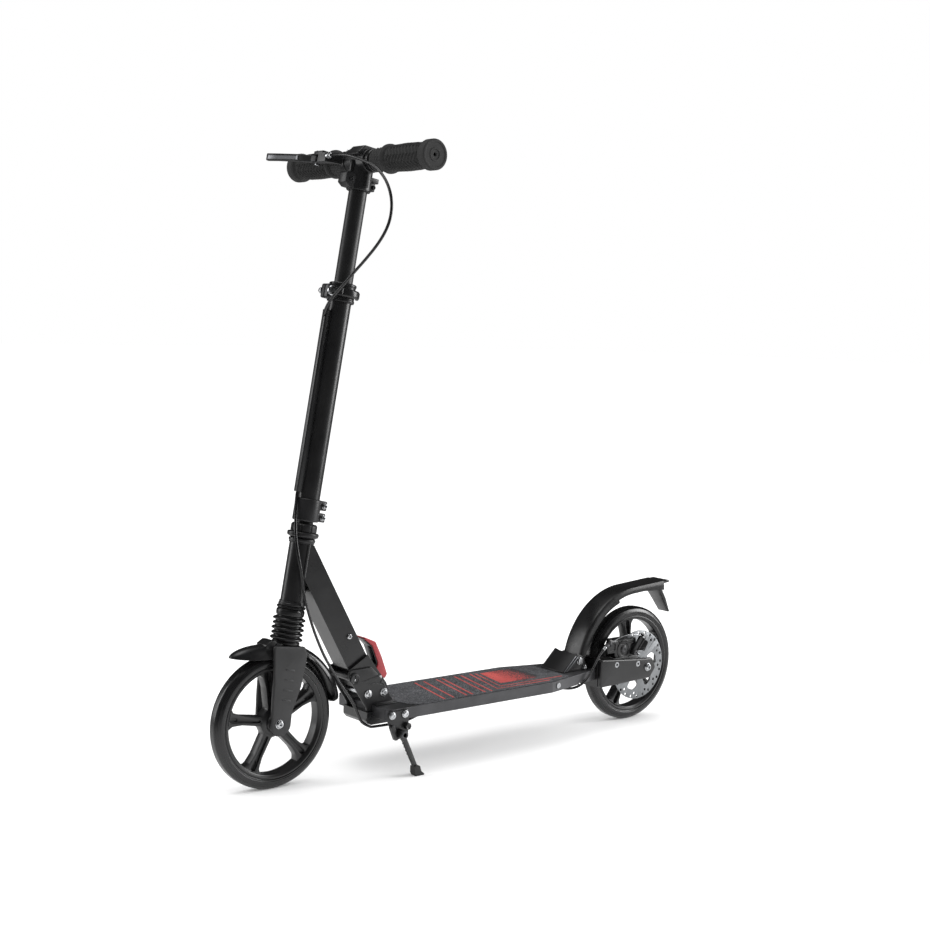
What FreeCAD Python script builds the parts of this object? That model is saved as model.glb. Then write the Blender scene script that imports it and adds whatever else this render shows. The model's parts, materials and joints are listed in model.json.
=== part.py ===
import FreeCAD, Part
import math
import os
import Sketcher
from FreeCAD import Placement, Rotation, Vector

# Folding kick scooter with front suspension, rear disc brake and fender brake.
# Millimetres. +X points forward, +Y to the rider's left, +Z up. The origin is on the ground,
# midway between the two axles. Pieces of the steering column are drawn in the column's own
# frame, whose Z is the steering axis, measured from the height of the axles.

SIZES = {
    # stance
    "wheelbase": 854, "wheel_dia": 230, "tyre_width": 30, "tyre_flat": 16, "tyre_wall": 18,
    "steer_tilt": 9.82, "axle_lead": 3.8,
    # wheels
    "hub_width": 39, "hub_dia": 34, "bearing_dia": 22, "bearing_width": 7, "axle_dia": 8,
    "run_gap": 0.05, "rotor_dia": 140, "rotor_thick": 1.8, "rotor_y": 29,
    # deck
    "deck_top": 122.6, "deck_thick": 19.6, "deck_width": 156, "front_gap": 74, "rear_gap": 15,
    "taper_length": 147, "neck_width": 84, "tape_thick": 0.8, "nose_width": 72,
    "deck_channel": 14.6,
    # folding bracket, from the deck's front edge and its top
    "plate_inner": 28, "plate_thick": 4, "pivot_back": 24, "pivot_up": 20.4, "pivot_dia": 10,
    "stop_ahead": 10, "stop_up": 21.4, "lock_ahead": 41, "lock_up": 52.4, "lock_dia": 12,
    # rear fork
    "yoke_drop": 35.6, "yoke_rise": 21.4, "yoke_thick": 8, "arm_outer": 58, "arm_thick": 10,
    # strut, whose foot is placed from the deck's front edge and top, and head tube
    "strut_lean": 29.4, "strut_width": 44, "strut_wall": 3, "strut_ahead": 27.62,
    "strut_up": 78.95, "head_low": 197.5, "head_high": 313, "head_dia": 41, "cup_height": 8,
    # steering column
    "column_datum": 115, "steerer_dia": 28.6, "slider_dia": 22.9, "outer_dia": 38.1,
    "upper_dia": 31.8, "outer_low": 343, "outer_high": 735, "upper_low": 570, "upper_high": 930,
    "duct_low": 391, "duct_high": 702.6, "duct_front": 29.6, "duct_width": 11.5,
    "collar_low": 340, "collar_high": 381.6, "collar_wall": 3.45, "clamp_low": 719.5,
    "clamp_high": 752.3, "clamp_wall": 4.45, "lever_height": 14,
    # handlebar
    "bar_height": 963.7, "bar_dia": 32, "bar_wall": 2.4, "bar_half": 197, "head_half": 28,
    "grip_start": 41.5, "grip_end": 200, "grip_wall": 4.5, "flange_wall": 9.5,
    # front fork
    "crown_low": 119, "crown_high": 131, "leg_inner": 20, "leg_thick": 8,
    "bellows_low": 132, "bellows_high": 193, "bellows_dia": 50,
    # fenders
    "front_fender_gap": 17, "rear_fender_gap": 42, "fender_width": 46, "fender_thick": 3,
    "hinge_ahead": 35, "hinge_up": 19.4, "fender_foot_up": 39.3494,
    # kickstand and cable
    "stand_back": 23, "stand_drop": 23, "foot_back": 37, "foot_out": 6, "cable_dia": 5,
}

doc = FreeCAD.newDocument("kick_scooter")
sheet = doc.addObject("Spreadsheet::Sheet", "sizes")
for row, (name, number) in enumerate(SIZES.items(), 1):
    sheet.set(f"A{row}", name)
    sheet.set(f"B{row}", str(number))
    sheet.setAlias(f"B{row}", name)
doc.recompute()


class Size:
    """A number together with the spreadsheet expression that gives it."""

    def __init__(self, number, text):
        self.number = float(number)
        self.text = text

    def __float__(self):
        return self.number

    def join(self, other, sign, number, swap=False):
        """Combine with another size or a plain number."""
        other_text = other.text if isinstance(other, Size) else f"({float(other)!r})"
        first, second = (other_text, self.text) if swap else (self.text, other_text)
        return Size(number, f"({first} {sign} {second})")

    def __add__(self, other):
        return self.join(other, "+", self.number + float(other))

    def __radd__(self, other):
        return self.join(other, "+", float(other) + self.number, swap=True)

    def __sub__(self, other):
        return self.join(other, "-", self.number - float(other))

    def __rsub__(self, other):
        return self.join(other, "-", float(other) - self.number, swap=True)

    def __mul__(self, other):
        return self.join(other, "*", self.number * float(other))

    def __rmul__(self, other):
        return self.join(other, "*", float(other) * self.number, swap=True)

    def __truediv__(self, other):
        return self.join(other, "/", self.number / float(other))

    def __neg__(self):
        return self.join(-1, "*", -self.number)


class Sizes:
    """Reads the spreadsheet: W.deck_width is the cell of that name as a Size."""

    def __getattr__(self, name):
        return Size(sheet.get(name), f"sizes.{name}")


W = Sizes()
X_AXIS, Y_AXIS, Z_AXIS = Vector(1, 0, 0), Vector(0, 1, 0), Vector(0, 0, 1)
PARTS = {}
WHEEL_R = W.wheel_dia / 2
TYRE_BORE_R = WHEEL_R - W.tyre_wall
AXLE_Z = WHEEL_R
FRONT_X = W.wheelbase / 2
REAR_X = -W.wheelbase / 2
DECK_TOP = W.deck_top
DECK_LOW = DECK_TOP - W.deck_thick
DECK_HALF = W.deck_width / 2
DECK_FRONT = FRONT_X - WHEEL_R - W.front_gap
NECK_END = REAR_X + WHEEL_R + W.rear_gap
TAPER_START = NECK_END + W.taper_length
NOSE_TOP = DECK_LOW + 9
PIVOT_X, PIVOT_Z = DECK_FRONT - W.pivot_back, DECK_TOP + W.pivot_up
STOP_X, STOP_Z = DECK_FRONT + W.stop_ahead, DECK_TOP + W.stop_up
LOCK_X, LOCK_Z = DECK_FRONT + W.lock_ahead, DECK_TOP + W.lock_up
PEDAL_X, PEDAL_Z = PIVOT_X + 4, PIVOT_Z + 27
HINGE_X, HINGE_Z = NECK_END + W.hinge_ahead, DECK_TOP + W.hinge_up
CHEEK = W.fender_width / 2 + 6
STAND_X, STAND_Z = DECK_FRONT - W.stand_back, DECK_LOW - W.stand_drop
YOKE_LOW, YOKE_HIGH = DECK_TOP - W.yoke_drop, DECK_TOP + W.yoke_rise
ARM_INNER = W.arm_outer - W.arm_thick
SIDE_BOLT_X, SIDE_BOLT_Z, SEAT_Y = TAPER_START - 17, DECK_TOP - 8.6, DECK_HALF - 6.5
LUG_BOLTS = ((REAR_X + 86.2, AXLE_Z + 14.4), (REAR_X + 26.8, AXLE_Z + 9.3))
ARM_PIVOT_X, ARM_PIVOT_Z, ARM_PIN = REAR_X + 33.5, AXLE_Z + 32.5, 3.5
CAM_SIDE, SKEWER_AHEAD, CABLE_AHEAD = 18.6, 29, 25.4
COLLAR_BOLTS, COLLAR_BOLT_BACK = (352, 372.5), -27
LEVER_AHEAD, LEVER_SIDE = 36, -84
TURNS = {"x": Rotation(Y_AXIS, 90), "y": Rotation(X_AXIS, -90), "z": Rotation()}


# ---------------------------------------------------------------- drawing helpers
def put(thing, **properties):
    """Set properties, and bind those that come from the sheet."""
    for prop, value in properties.items():
        setattr(thing, prop, float(value))
        if isinstance(value, Size):
            thing.setExpression(prop, value.text)
    return thing


def at(x=0, y=0, z=0, turn=None):
    """A placement from sizes or numbers."""
    return Placement(Vector(float(x), float(y), float(z)), turn or Rotation())


def column_frame():
    """The steering axis. Heights on it start one datum below the height of the tyre's crown."""
    turn = Rotation(Y_AXIS, -float(W.steer_tilt))
    rise = turn.multVec(Vector(0, 0, float(WHEEL_R - W.column_datum)))
    return at(FRONT_X - W.axle_lead + rise.x, 0, AXLE_Z + rise.z, turn)


def strut_frame():
    """The strut's frame, from its foot: Z runs up the strut, X points forward across it."""
    turn = Rotation(Y_AXIS, float(W.strut_lean))
    return at(DECK_FRONT + W.strut_ahead, 0, DECK_TOP + W.strut_up, turn)


COLUMN = column_frame()
STRUT = strut_frame()


def box(x_range, y_range, z_range):
    """A block between three pairs of limits."""
    thing = doc.addObject("Part::Box", "Block")
    put(thing, Length=x_range[1] - x_range[0], Width=y_range[1] - y_range[0],
        Height=z_range[1] - z_range[0])
    thing.Placement = at(x_range[0], y_range[0], z_range[0])
    return thing


def rod(start, radius, length, along="z"):
    """A cylinder from a start point along an axis."""
    thing = doc.addObject("Part::Cylinder", "Rod")
    put(thing, Radius=radius, Height=length)
    thing.Placement = at(*start, TURNS[along])
    return thing


def cone(start, low_radius, high_radius, length, along="z"):
    """A cone from a start point along an axis."""
    thing = doc.addObject("Part::Cone", "Cone")
    put(thing, Radius1=low_radius, Radius2=high_radius, Height=length)
    thing.Placement = at(*start, TURNS[along])
    return thing


def fuse(*things):
    """Join things into one solid."""
    result = doc.addObject("Part::MultiFuse", "Joined")
    result.Shapes = list(things)
    result.Refine = True
    return result


def cut(base, *tools):
    """Take the tools away from the base."""
    result = doc.addObject("Part::Cut", "Cut")
    result.Base = base
    result.Tool = tools[0] if len(tools) == 1 else fuse(*tools)
    result.Refine = True
    return result


def group(*things):
    """Several separate solids as one object."""
    result = doc.addObject("Part::Compound", "Group")
    result.Links = list(things)
    return result


def soften(base, radius, pick):
    """Round the edges that pick accepts."""
    doc.recompute()
    result = doc.addObject("Part::Fillet", "Soft")
    result.Base = base
    size = float(radius)
    result.Edges = [(i, size, size) for i, edge in enumerate(base.Shape.Edges, 1) if pick(edge)]
    return result


def ring(start, outer, inner, length, along="z"):
    """A tube from a start point along an axis; outer and inner are radii."""
    return cut(rod(start, outer, length, along), rod(start, inner, length, along))


def origin_plane(body, role):
    """One of a body's own origin planes."""
    return [part for part in body.Origin.OriginFeatures if part.Role == role][0]


def sketch_on(body, role, corners):
    """A closed outline on an origin plane, each corner tied to the sheet."""
    sketch = body.newObject("Sketcher::SketchObject", "Outline")
    sketch.AttachmentSupport = [(origin_plane(body, role), "")]
    sketch.MapMode = "FlatFace"
    points = [Vector(float(c[0]), float(c[1]), 0) for c in corners]
    count = len(points)
    for i in range(count):
        sketch.addGeometry(Part.LineSegment(points[i], points[(i + 1) % count]), False)
    for i in range(count):
        sketch.addConstraint(Sketcher.Constraint("Coincident", i, 2, (i + 1) % count, 1))
    for i, corner in enumerate(corners):
        for kind, value in zip(("DistanceX", "DistanceY"), corner[:2]):
            index = sketch.addConstraint(Sketcher.Constraint(kind, i, 1, float(value)))
            if isinstance(value, Size):
                sketch.setExpression(f"Constraints[{index}]", value.text)
    return sketch


def corner_edges(shape, corner, normal):
    """Names of the edges that run along a plate's normal through one of its corners."""
    a, b = float(corner[0]), float(corner[1])
    names = []
    for i, edge in enumerate(shape.Edges, 1):
        ends = [v.Point for v in edge.Vertexes]
        flat = [(p.x, p.z) if normal == "y" else (p.x, p.y) for p in ends]
        if len(ends) == 2 and all(math.hypot(p[0] - a, p[1] - b) < 0.01 for p in flat):
            names.append(f"Edge{i}")
    return names


def plate(corners, low, high, normal="y"):
    """A flat piece from its outline. A corner may have a third number, its radius."""
    body = doc.addObject("PartDesign::Body", "Plate")
    role = "XZ_Plane" if normal == "y" else "XY_Plane"
    pad = body.newObject("PartDesign::Pad", "Thickness")
    sketch = sketch_on(body, role, corners)
    pad.Profile = sketch
    pad.Midplane = True
    put(pad, Length=high - low)
    body.Tip = pad
    doc.recompute()
    feature = pad
    for radius in sorted({float(c[2]) for c in corners if len(c) > 2}):
        names = []
        for corner in corners:
            if len(corner) > 2 and float(corner[2]) == radius:
                names += corner_edges(feature.Shape, corner, normal)
        rounds = body.newObject("PartDesign::Fillet", "Rounds")
        rounds.Base = (feature, names)
        put(rounds, Radius=radius)
        body.Tip = rounds
        doc.recompute()
        feature = rounds
    middle = (float(low) + float(high)) / 2
    body.Placement = at(y=middle) if normal == "y" else at(z=middle)
    return body


def turned(profile, along="z"):
    """A turned piece from its half section of (radius, height) corners."""
    body = doc.addObject("PartDesign::Body", "Turned")
    turn = body.newObject("PartDesign::Revolution", "Turn")
    sketch = sketch_on(body, "XZ_Plane", profile)
    turn.Profile = sketch
    turn.ReferenceAxis = (sketch, ["V_Axis"])
    turn.Angle = 360
    body.Tip = turn
    body.Placement = at(turn=TURNS[along])
    return body


def keep(name, thing, frame=None):
    """Name a finished sub-part and stand it in its frame."""
    if frame is not None:
        thing.Placement = frame.multiply(thing.Placement)
    thing.Label = name
    PARTS[name] = thing
    return thing


def steer_point(ahead, side, up):
    """A point of the column's frame in the scooter's frame."""
    return COLUMN.multVec(Vector(float(ahead), float(side), float(up)))


def cord_wire(points):
    """Straight runs joined by arcs as large as the runs allow."""
    points = [Vector(*map(float, p)) for p in points]
    edges, here, radii = [], points[0], []
    for before, corner, after in zip(points, points[1:], points[2:]):
        into, out = (corner - before), (after - corner)
        half = into.getAngle(out) / 2
        reach = 0.45 * min(into.Length, out.Length)
        radii.append(reach / math.tan(half))
        into.normalize()
        out.normalize()
        start, end = corner - into * reach, corner + out * reach
        bisector = (out - into).normalize()
        centre = corner + bisector * (radii[-1] / math.cos(half))
        middle = centre - bisector * radii[-1]
        edges.append(Part.LineSegment(here, start).toShape())
        edges.append(Part.Arc(start, middle, end).toShape())
        here = end
    edges.append(Part.LineSegment(here, points[-1]).toShape())
    return Part.Wire(edges), radii


def cord(name, points):
    """A round cord along its route, its volume compared with section times length."""
    wire, radii = cord_wire(points)
    radius = float(W.cable_dia) / 2
    start = wire.Edges[0]
    circle = Part.Wire(Part.makeCircle(radius, start.Vertexes[0].Point, start.tangentAt(0)))
    solid = wire.makePipeShell([circle], True, False)
    expected = math.pi * radius ** 2 * wire.Length
    print(name, "length", round(wire.Length, 1), "smallest radius", round(min(radii), 1),
          "volume ratio", round(solid.Volume / expected, 4))
    feature = doc.addObject("Part::Feature", "Cord")
    feature.Shape = solid
    return keep(name, feature)


# ---------------------------------------------------------------- deck
def deck_group():
    """The board, its tape, nose block and the bolts in its sides."""
    low, half, neck = DECK_LOW, DECK_HALF, W.neck_width / 2
    board = plate([(DECK_FRONT, -half, 12), (DECK_FRONT, half, 12), (TAPER_START, half),
                   (NECK_END, neck), (NECK_END, -neck), (TAPER_START, -half)],
                  low, DECK_TOP, "z")
    cable_groove = box((NECK_END + 35, DECK_FRONT - 58), (46, 56), (low - 1, low + 7))
    channels = [box((TAPER_START + 10, DECK_FRONT - 88), (y - 11.5, y + 11.5),
                    (low - 1, low + W.deck_channel)) for y in (-57, -30, -3, 24)]
    bolt_seats = [rod((SIDE_BOLT_X, y, SIDE_BOLT_Z), 5, 20, "y") for y in (SEAT_Y, -SEAT_Y - 20)]
    keep("deck_board", cut(board, cable_groove, *channels, *bolt_seats))

    edge = half - 4
    tape_end = NECK_END + 85
    narrow = edge - (half - neck) * (TAPER_START - tape_end) / W.taper_length
    front = DECK_FRONT
    side = [(front - 61, 0), (front - 50, 22), (front - 50, 40), (front - 56, 58),
            (front - 73, edge, 5), (TAPER_START, edge), (tape_end, narrow, 6)]
    outline = side + [(c[0], -c[1], *c[2:]) for c in reversed(side[1:])]
    keep("grip_tape", plate(outline, DECK_TOP, DECK_TOP + W.tape_thick, "z"))

    nose = W.nose_width / 2
    keep("deck_nose", plate([(front - 70, low - 7), (front - 60, low - 14, 4),
                             (front + 7, low - 14, 6), (front + 14, low - 6, 4),
                             (front + 14, NOSE_TOP), (front, NOSE_TOP), (front, low),
                             (front - 70, low)], -nose, nose))


def fold_bracket():
    """Two side plates with the pivot bolt, the stop bolt and the lock pin."""
    inner, thick = W.plate_inner, W.plate_thick
    front, top = DECK_FRONT, DECK_TOP
    outline = [(front - 47, top), (front, top), (front, NOSE_TOP), (front + 12, NOSE_TOP),
               (front + 13, NOSE_TOP + 7, 3), (front + 50, top + 53.4, 5),
               (front + 51, top + 67.4, 4), (front + 3, top + 68.4, 5), (front - 17, top + 48.4),
               (front - 33, top + 23.4)]
    for name, sign in (("fold_plate_left", 1), ("fold_plate_right", -1)):
        low, high = (inner, inner + thick) if sign > 0 else (-inner - thick, -inner)
        holes = [rod((x, -50, z), r, 100, "y") for x, z, r in (
            (PIVOT_X, PIVOT_Z, W.pivot_dia / 2), (STOP_X, STOP_Z, W.pivot_dia / 2),
            (LOCK_X, LOCK_Z, W.lock_dia / 2))]
        cut_y = sign * (inner + thick - 0.6)
        grooves = [box((front - 2, front + 32), (cut_y - 0.7, cut_y + 0.7), (z, z + 1.4))
                   for z in (top + 37.4, top + 42.4)]
        keep(name, cut(plate(outline, low, high), *holes, *grooves))

    face = inner + thick

    def bolt(x, z, radius, head, head_thick):
        shank = rod((x, -face, z), radius, face * 2, "y")
        heads = [rod((x, y, z), head, head_thick, "y") for y in (-face - head_thick, face)]
        return fuse(shank, *heads)

    keep("fold_bolts", group(bolt(PIVOT_X, PIVOT_Z, W.pivot_dia / 2, 8, 4),
                             bolt(STOP_X, STOP_Z, W.pivot_dia / 2, 8, 4)))
    lock = bolt(LOCK_X, LOCK_Z, W.lock_dia / 2, 10, 5)
    slot = box((LOCK_X - 1, LOCK_X + 1), (face + 3.5, face + 6), (LOCK_Z - 9, LOCK_Z + 9))
    keep("lock_pin", cut(lock, slot))


def rear_fork():
    """Cross plate, the two arms and the axle with its spacers."""
    back = NECK_END - W.yoke_thick
    outer, inner = W.arm_outer, ARM_INNER
    keep("rear_cross_plate", soften(
        box((back, NECK_END), (-inner, inner), (YOKE_LOW, YOKE_HIGH)), 2,
        lambda edge: abs(edge.BoundBox.XLength) > 7))
    outline = [(NECK_END, YOKE_LOW + 1, 4), (NECK_END, YOKE_HIGH, 4), (REAR_X + 18, AXLE_Z + 19),
               (REAR_X - 14, AXLE_Z + 18, 10), (REAR_X - 25, AXLE_Z - 3, 8),
               (REAR_X - 9, AXLE_Z - 23, 8)]
    bore = rod((REAR_X, -80, AXLE_Z), W.axle_dia / 2, 160, "y")
    left = plate(outline, inner, outer)
    pockets = [rod((x, outer - 4, z), 6, 10, "y") for x, z in LUG_BOLTS]
    keep("rear_arm_left", cut(left, bore, *pockets))
    keep("rear_arm_right", cut(plate(outline, -outer, -inner), bore))

    hub = W.hub_width / 2 + 0.2
    spacer = inner - hub
    shank = rod((REAR_X, -outer - 2, AXLE_Z), W.axle_dia / 2, outer * 2 + 4, "y")
    heads = [rod((REAR_X, y, AXLE_Z), 8, 5, "y") for y in (-outer - 5, outer)]
    spacers = [rod((REAR_X, y, AXLE_Z), 7, spacer, "y") for y in (hub, -inner)]
    keep("rear_axle", fuse(shank, *heads, *spacers))


def fender_bracket():
    """The wedge on the deck that carries the rear fender's hinge pin."""
    x, z, top = HINGE_X, HINGE_Z, DECK_TOP
    cheek = [(x + 44, top), (x + 7, z + 16, 3), (x - 8, z + 8, 4), (x - 24, top + 6, 3),
             (x - 26, top)]
    pin = rod((x, -60, z), 3, 120, "y")
    cheeks = [plate(cheek, CHEEK, CHEEK + 3), plate(cheek, -CHEEK - 3, -CHEEK)]
    sloped = plate([(x + 44, top), (x + 9, z + 14), (x + 6, z + 12.5), (x + 39.5, top)],
                   -CHEEK, CHEEK)
    foot = box((x + 16, x + 43.5), (-CHEEK, CHEEK), (top, top + 2.5))
    keep("fender_bracket", cut(fuse(*cheeks, sloped, foot), pin))


def deck_bolts():
    """Bolt heads on the deck, stand bracket, fender bracket and rear arm."""
    sides = [rod((SIDE_BOLT_X, y, SIDE_BOLT_Z), 5, 5, "y") for y in (SEAT_Y, -SEAT_Y - 5)]
    wedge = [rod((HINGE_X - 14, y, DECK_TOP + 5.4), 4.5, 3, "y")
             for y in (CHEEK + 3, -CHEEK - 6)]
    arm = [ring((x, W.arm_outer - 4, z), 5.5, 2.5, 3.6, "y") for x, z in LUG_BOLTS]
    hinge = fuse(rod((HINGE_X, -CHEEK - 4, HINGE_Z), 3, CHEEK * 2 + 8, "y"),
                 rod((HINGE_X, -CHEEK - 7, HINGE_Z), 5.5, 4, "y"),
                 rod((HINGE_X, CHEEK + 3, HINGE_Z), 5.5, 4, "y"))
    stand = [rod((x, DECK_HALF + 3, DECK_LOW + 10), 5.5, 3.5, "y")
             for x in (STAND_X - 12, STAND_X + 16)]
    keep("deck_bolts", group(*sides, *wedge, *arm, hinge, *stand))


def brake():
    """Caliper over the rotor's front edge, and the arm that squeezes it."""
    x, z, face = REAR_X, AXLE_Z, ARM_INNER - 0.3
    body = soften(box((x + 22, x + 82), (19.5, 46), (z + 23, z + 61)), 4,
                  lambda e: e.BoundBox.YLength > 20)
    disc = rod((x + 57, 34, z + 40), 22, 13.5, "y")
    plate_in = plate([(x + 15, z + 3), (x + 93, z + 3), (x + 89, z + 25), (x + 19, z + 25)],
                     face - 9.7, face)
    stop = plate([(x + 75, z + 35), (x + 101, z + 35), (x + 105, z + 49), (x + 97, z + 65),
                  (x + 75, z + 57)], 38, 46)
    slot = rod((x, W.rotor_y - 1.8, z), W.rotor_dia / 2 + 3, W.rotor_thick + 3.6, "y")
    swing_pin = rod((ARM_PIVOT_X, 44, ARM_PIVOT_Z), ARM_PIN, 13, "y")
    adjuster_seat = rod((x + 77, 42, z + 61), 2, 20, "x")
    keep("brake_caliper", cut(fuse(body, disc, plate_in, stop, swing_pin), slot, adjuster_seat))

    x, z = ARM_PIVOT_X, ARM_PIVOT_Z
    arm = plate([(x - 7, z - 2.5, 5), (x + 1.5, z - 7, 5), (x + 7, z + 0.5, 5), (x + 4.5, z + 5.5),
                 (x - 19.5, z + 36.5, 4), (x - 33.5, z + 33.5, 4), (x - 30.5, z + 23.5)],
                ARM_INNER + 0.1, ARM_INNER + 5)
    anchor = rod((x - 24.5, 46, z + 30.5), 4, 9, "y")
    pin_hole = rod((ARM_PIVOT_X, 40, ARM_PIVOT_Z), W.run_gap + ARM_PIN, 30, "y")
    keep("caliper_arm", cut(fuse(arm, anchor), pin_hole))


def kickstand():
    """Bracket on the deck's left side, the swinging leg and its rubber foot."""
    half, x, z = DECK_HALF, STAND_X, STAND_Z
    pin_end = half + 21
    bracket = plate([(x - 20, z - 8, 5), (x + 11, z - 12, 5), (x + 25, z + 24, 4),
                     (x + 25, z + 40, 4), (x - 21, z + 40, 4)], half, half + 3)
    pin = rod((x, half + 1, z), 4, pin_end - half - 1, "y")
    cap = rod((x, pin_end - 3, z), 7, 3, "y")
    stop = box((x - 19, x - 12), (half + 3, half + 11), (z + 8, z + 15))
    keep("kickstand_bracket", fuse(bracket, pin, cap, stop))

    hub_low, hub_high = half + 3.3, pin_end - 3.3
    hub = rod((x, hub_low, z), 9, hub_high - hub_low, "y")
    foot_x, foot_y = x - W.foot_back, half + W.foot_out
    start = Vector(float(x), float(hub_low + hub_high) / 2, float(z))
    reach = Vector(float(foot_x), float(foot_y), 10) - start
    unit = Vector(reach).normalize()

    def shaft():
        leg = doc.addObject("Part::Cylinder", "Rod")
        put(leg, Radius=5, Height=reach.Length - 8)
        leg.Placement = Placement(start + unit * 8, Rotation(Z_AXIS, reach))
        return leg

    bore = rod((x, half, z), 4 + W.run_gap, 40, "y")
    keep("kickstand_leg", cut(fuse(hub, shaft()), bore))
    foot = soften(rod((foot_x, foot_y, 0), 9, 18), 2.5, lambda e: e.BoundBox.ZLength < 0.1)
    keep("kickstand_foot", cut(foot, shaft()))


# ---------------------------------------------------------------- front frame
def front_frame():
    """Strut, folding knuckle, head tube with its cups, and their pins."""
    half = W.strut_width / 2
    low, high = W.head_low + W.cup_height, W.head_high - W.cup_height
    radius = W.head_dia / 2
    bore = W.steerer_dia / 2 + 2.5
    keep("head_tube", ring((0, 0, low), radius, bore, high - low), COLUMN)
    cup_bore = W.steerer_dia / 2 + W.run_gap
    lower = ring((0, 0, W.head_low), radius + 2.5, cup_bore, W.cup_height)
    upper = ring((0, 0, high), radius + 2.5, cup_bore, W.cup_height)
    keep("headset_cups", group(lower, upper), COLUMN)

    strut_long = 320
    hollow = half - W.strut_wall
    shell = cut(box((-half, half), (-half, half), (0, strut_long)),
                box((-hollow, hollow), (-hollow, hollow), (0, strut_long)))
    shell.Placement = STRUT
    tube_space = rod((0, 0, 0), radius, 600)
    ahead = box((0, 200), (-100, 100), (0, 800))
    above = box((-200, 1), (-100, 100), (high - 0.3, 800))
    cup_space = rod((0, 0, 100), radius + 2.8, low - 99.7)
    trim = fuse(tube_space, ahead, above, cup_space)
    trim.Placement = COLUMN
    keep("strut", cut(shell, trim))

    gap = 0.3
    width = W.plate_inner - gap
    bottom = STRUT.multVec(Vector(-float(half), 0, 0))
    front = STRUT.multVec(Vector(float(half), 0, 0))
    x, z = PIVOT_X, PIVOT_Z
    outline = [(x - 4, z - 13.5, 9), (x + 10, z - 12.5, 5), (x + 24, z + 7), (x + 44, z + 8, 4),
               (x + 52, z + 22), (x + 60, z + 41), (front.x, front.z), (bottom.x, bottom.z),
               (x + 10, z + 40), (x - 9, z + 15, 6), (x - 14, z - 4, 8)]
    solid = plate(outline, -width, width)
    pivot = rod((x, -60, z), W.pivot_dia / 2 + W.run_gap, 120, "y")
    lock = rod((LOCK_X, -60, LOCK_Z), W.lock_dia / 2 + 0.6, 120, "y")
    slot = box((x - 20, x + 16), (-14.5, 14.5), (z + 15, z + 46))
    pedal_pin_hole = rod((PEDAL_X, -60, PEDAL_Z), 3, 120, "y")
    keep("fold_knuckle", cut(solid, pivot, lock, slot, pedal_pin_hole))

    screws = []
    for side in (1, -1):
        screw = rod((0, 0, 0), 5, 3, "y")
        spot = STRUT.multVec(Vector(-7.3, 0, 49.7))
        screw.Placement = at(spot.x, half if side > 0 else -half - 3, spot.z, TURNS["y"])
        screws.append(screw)
    pedal_pin = rod((PEDAL_X, -width, PEDAL_Z), 3, width * 2, "y")
    keep("frame_pins", group(*screws, pedal_pin))


def release_pedal():
    """The red foot lever behind the strut, with a rib on each finger-wide step."""
    x, z = PEDAL_X, PEDAL_Z
    outline = [(x - 21, z - 7, 2), (x - 25, z, 3), (x - 12, z + 33), (x + 2, z + 61, 3),
               (x + 25, z + 71, 1.5), (x + 26, z + 67, 1.5), (x + 9, z + 54, 2), (x - 5, z + 20),
               (x + 6, z + 4, 3), (x + 4, z - 7, 4)]
    blade = plate(outline, -14, 14)
    keep("release_pedal", cut(blade, rod((x, -30, z), 3 + W.run_gap, 60, "y")))


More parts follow.
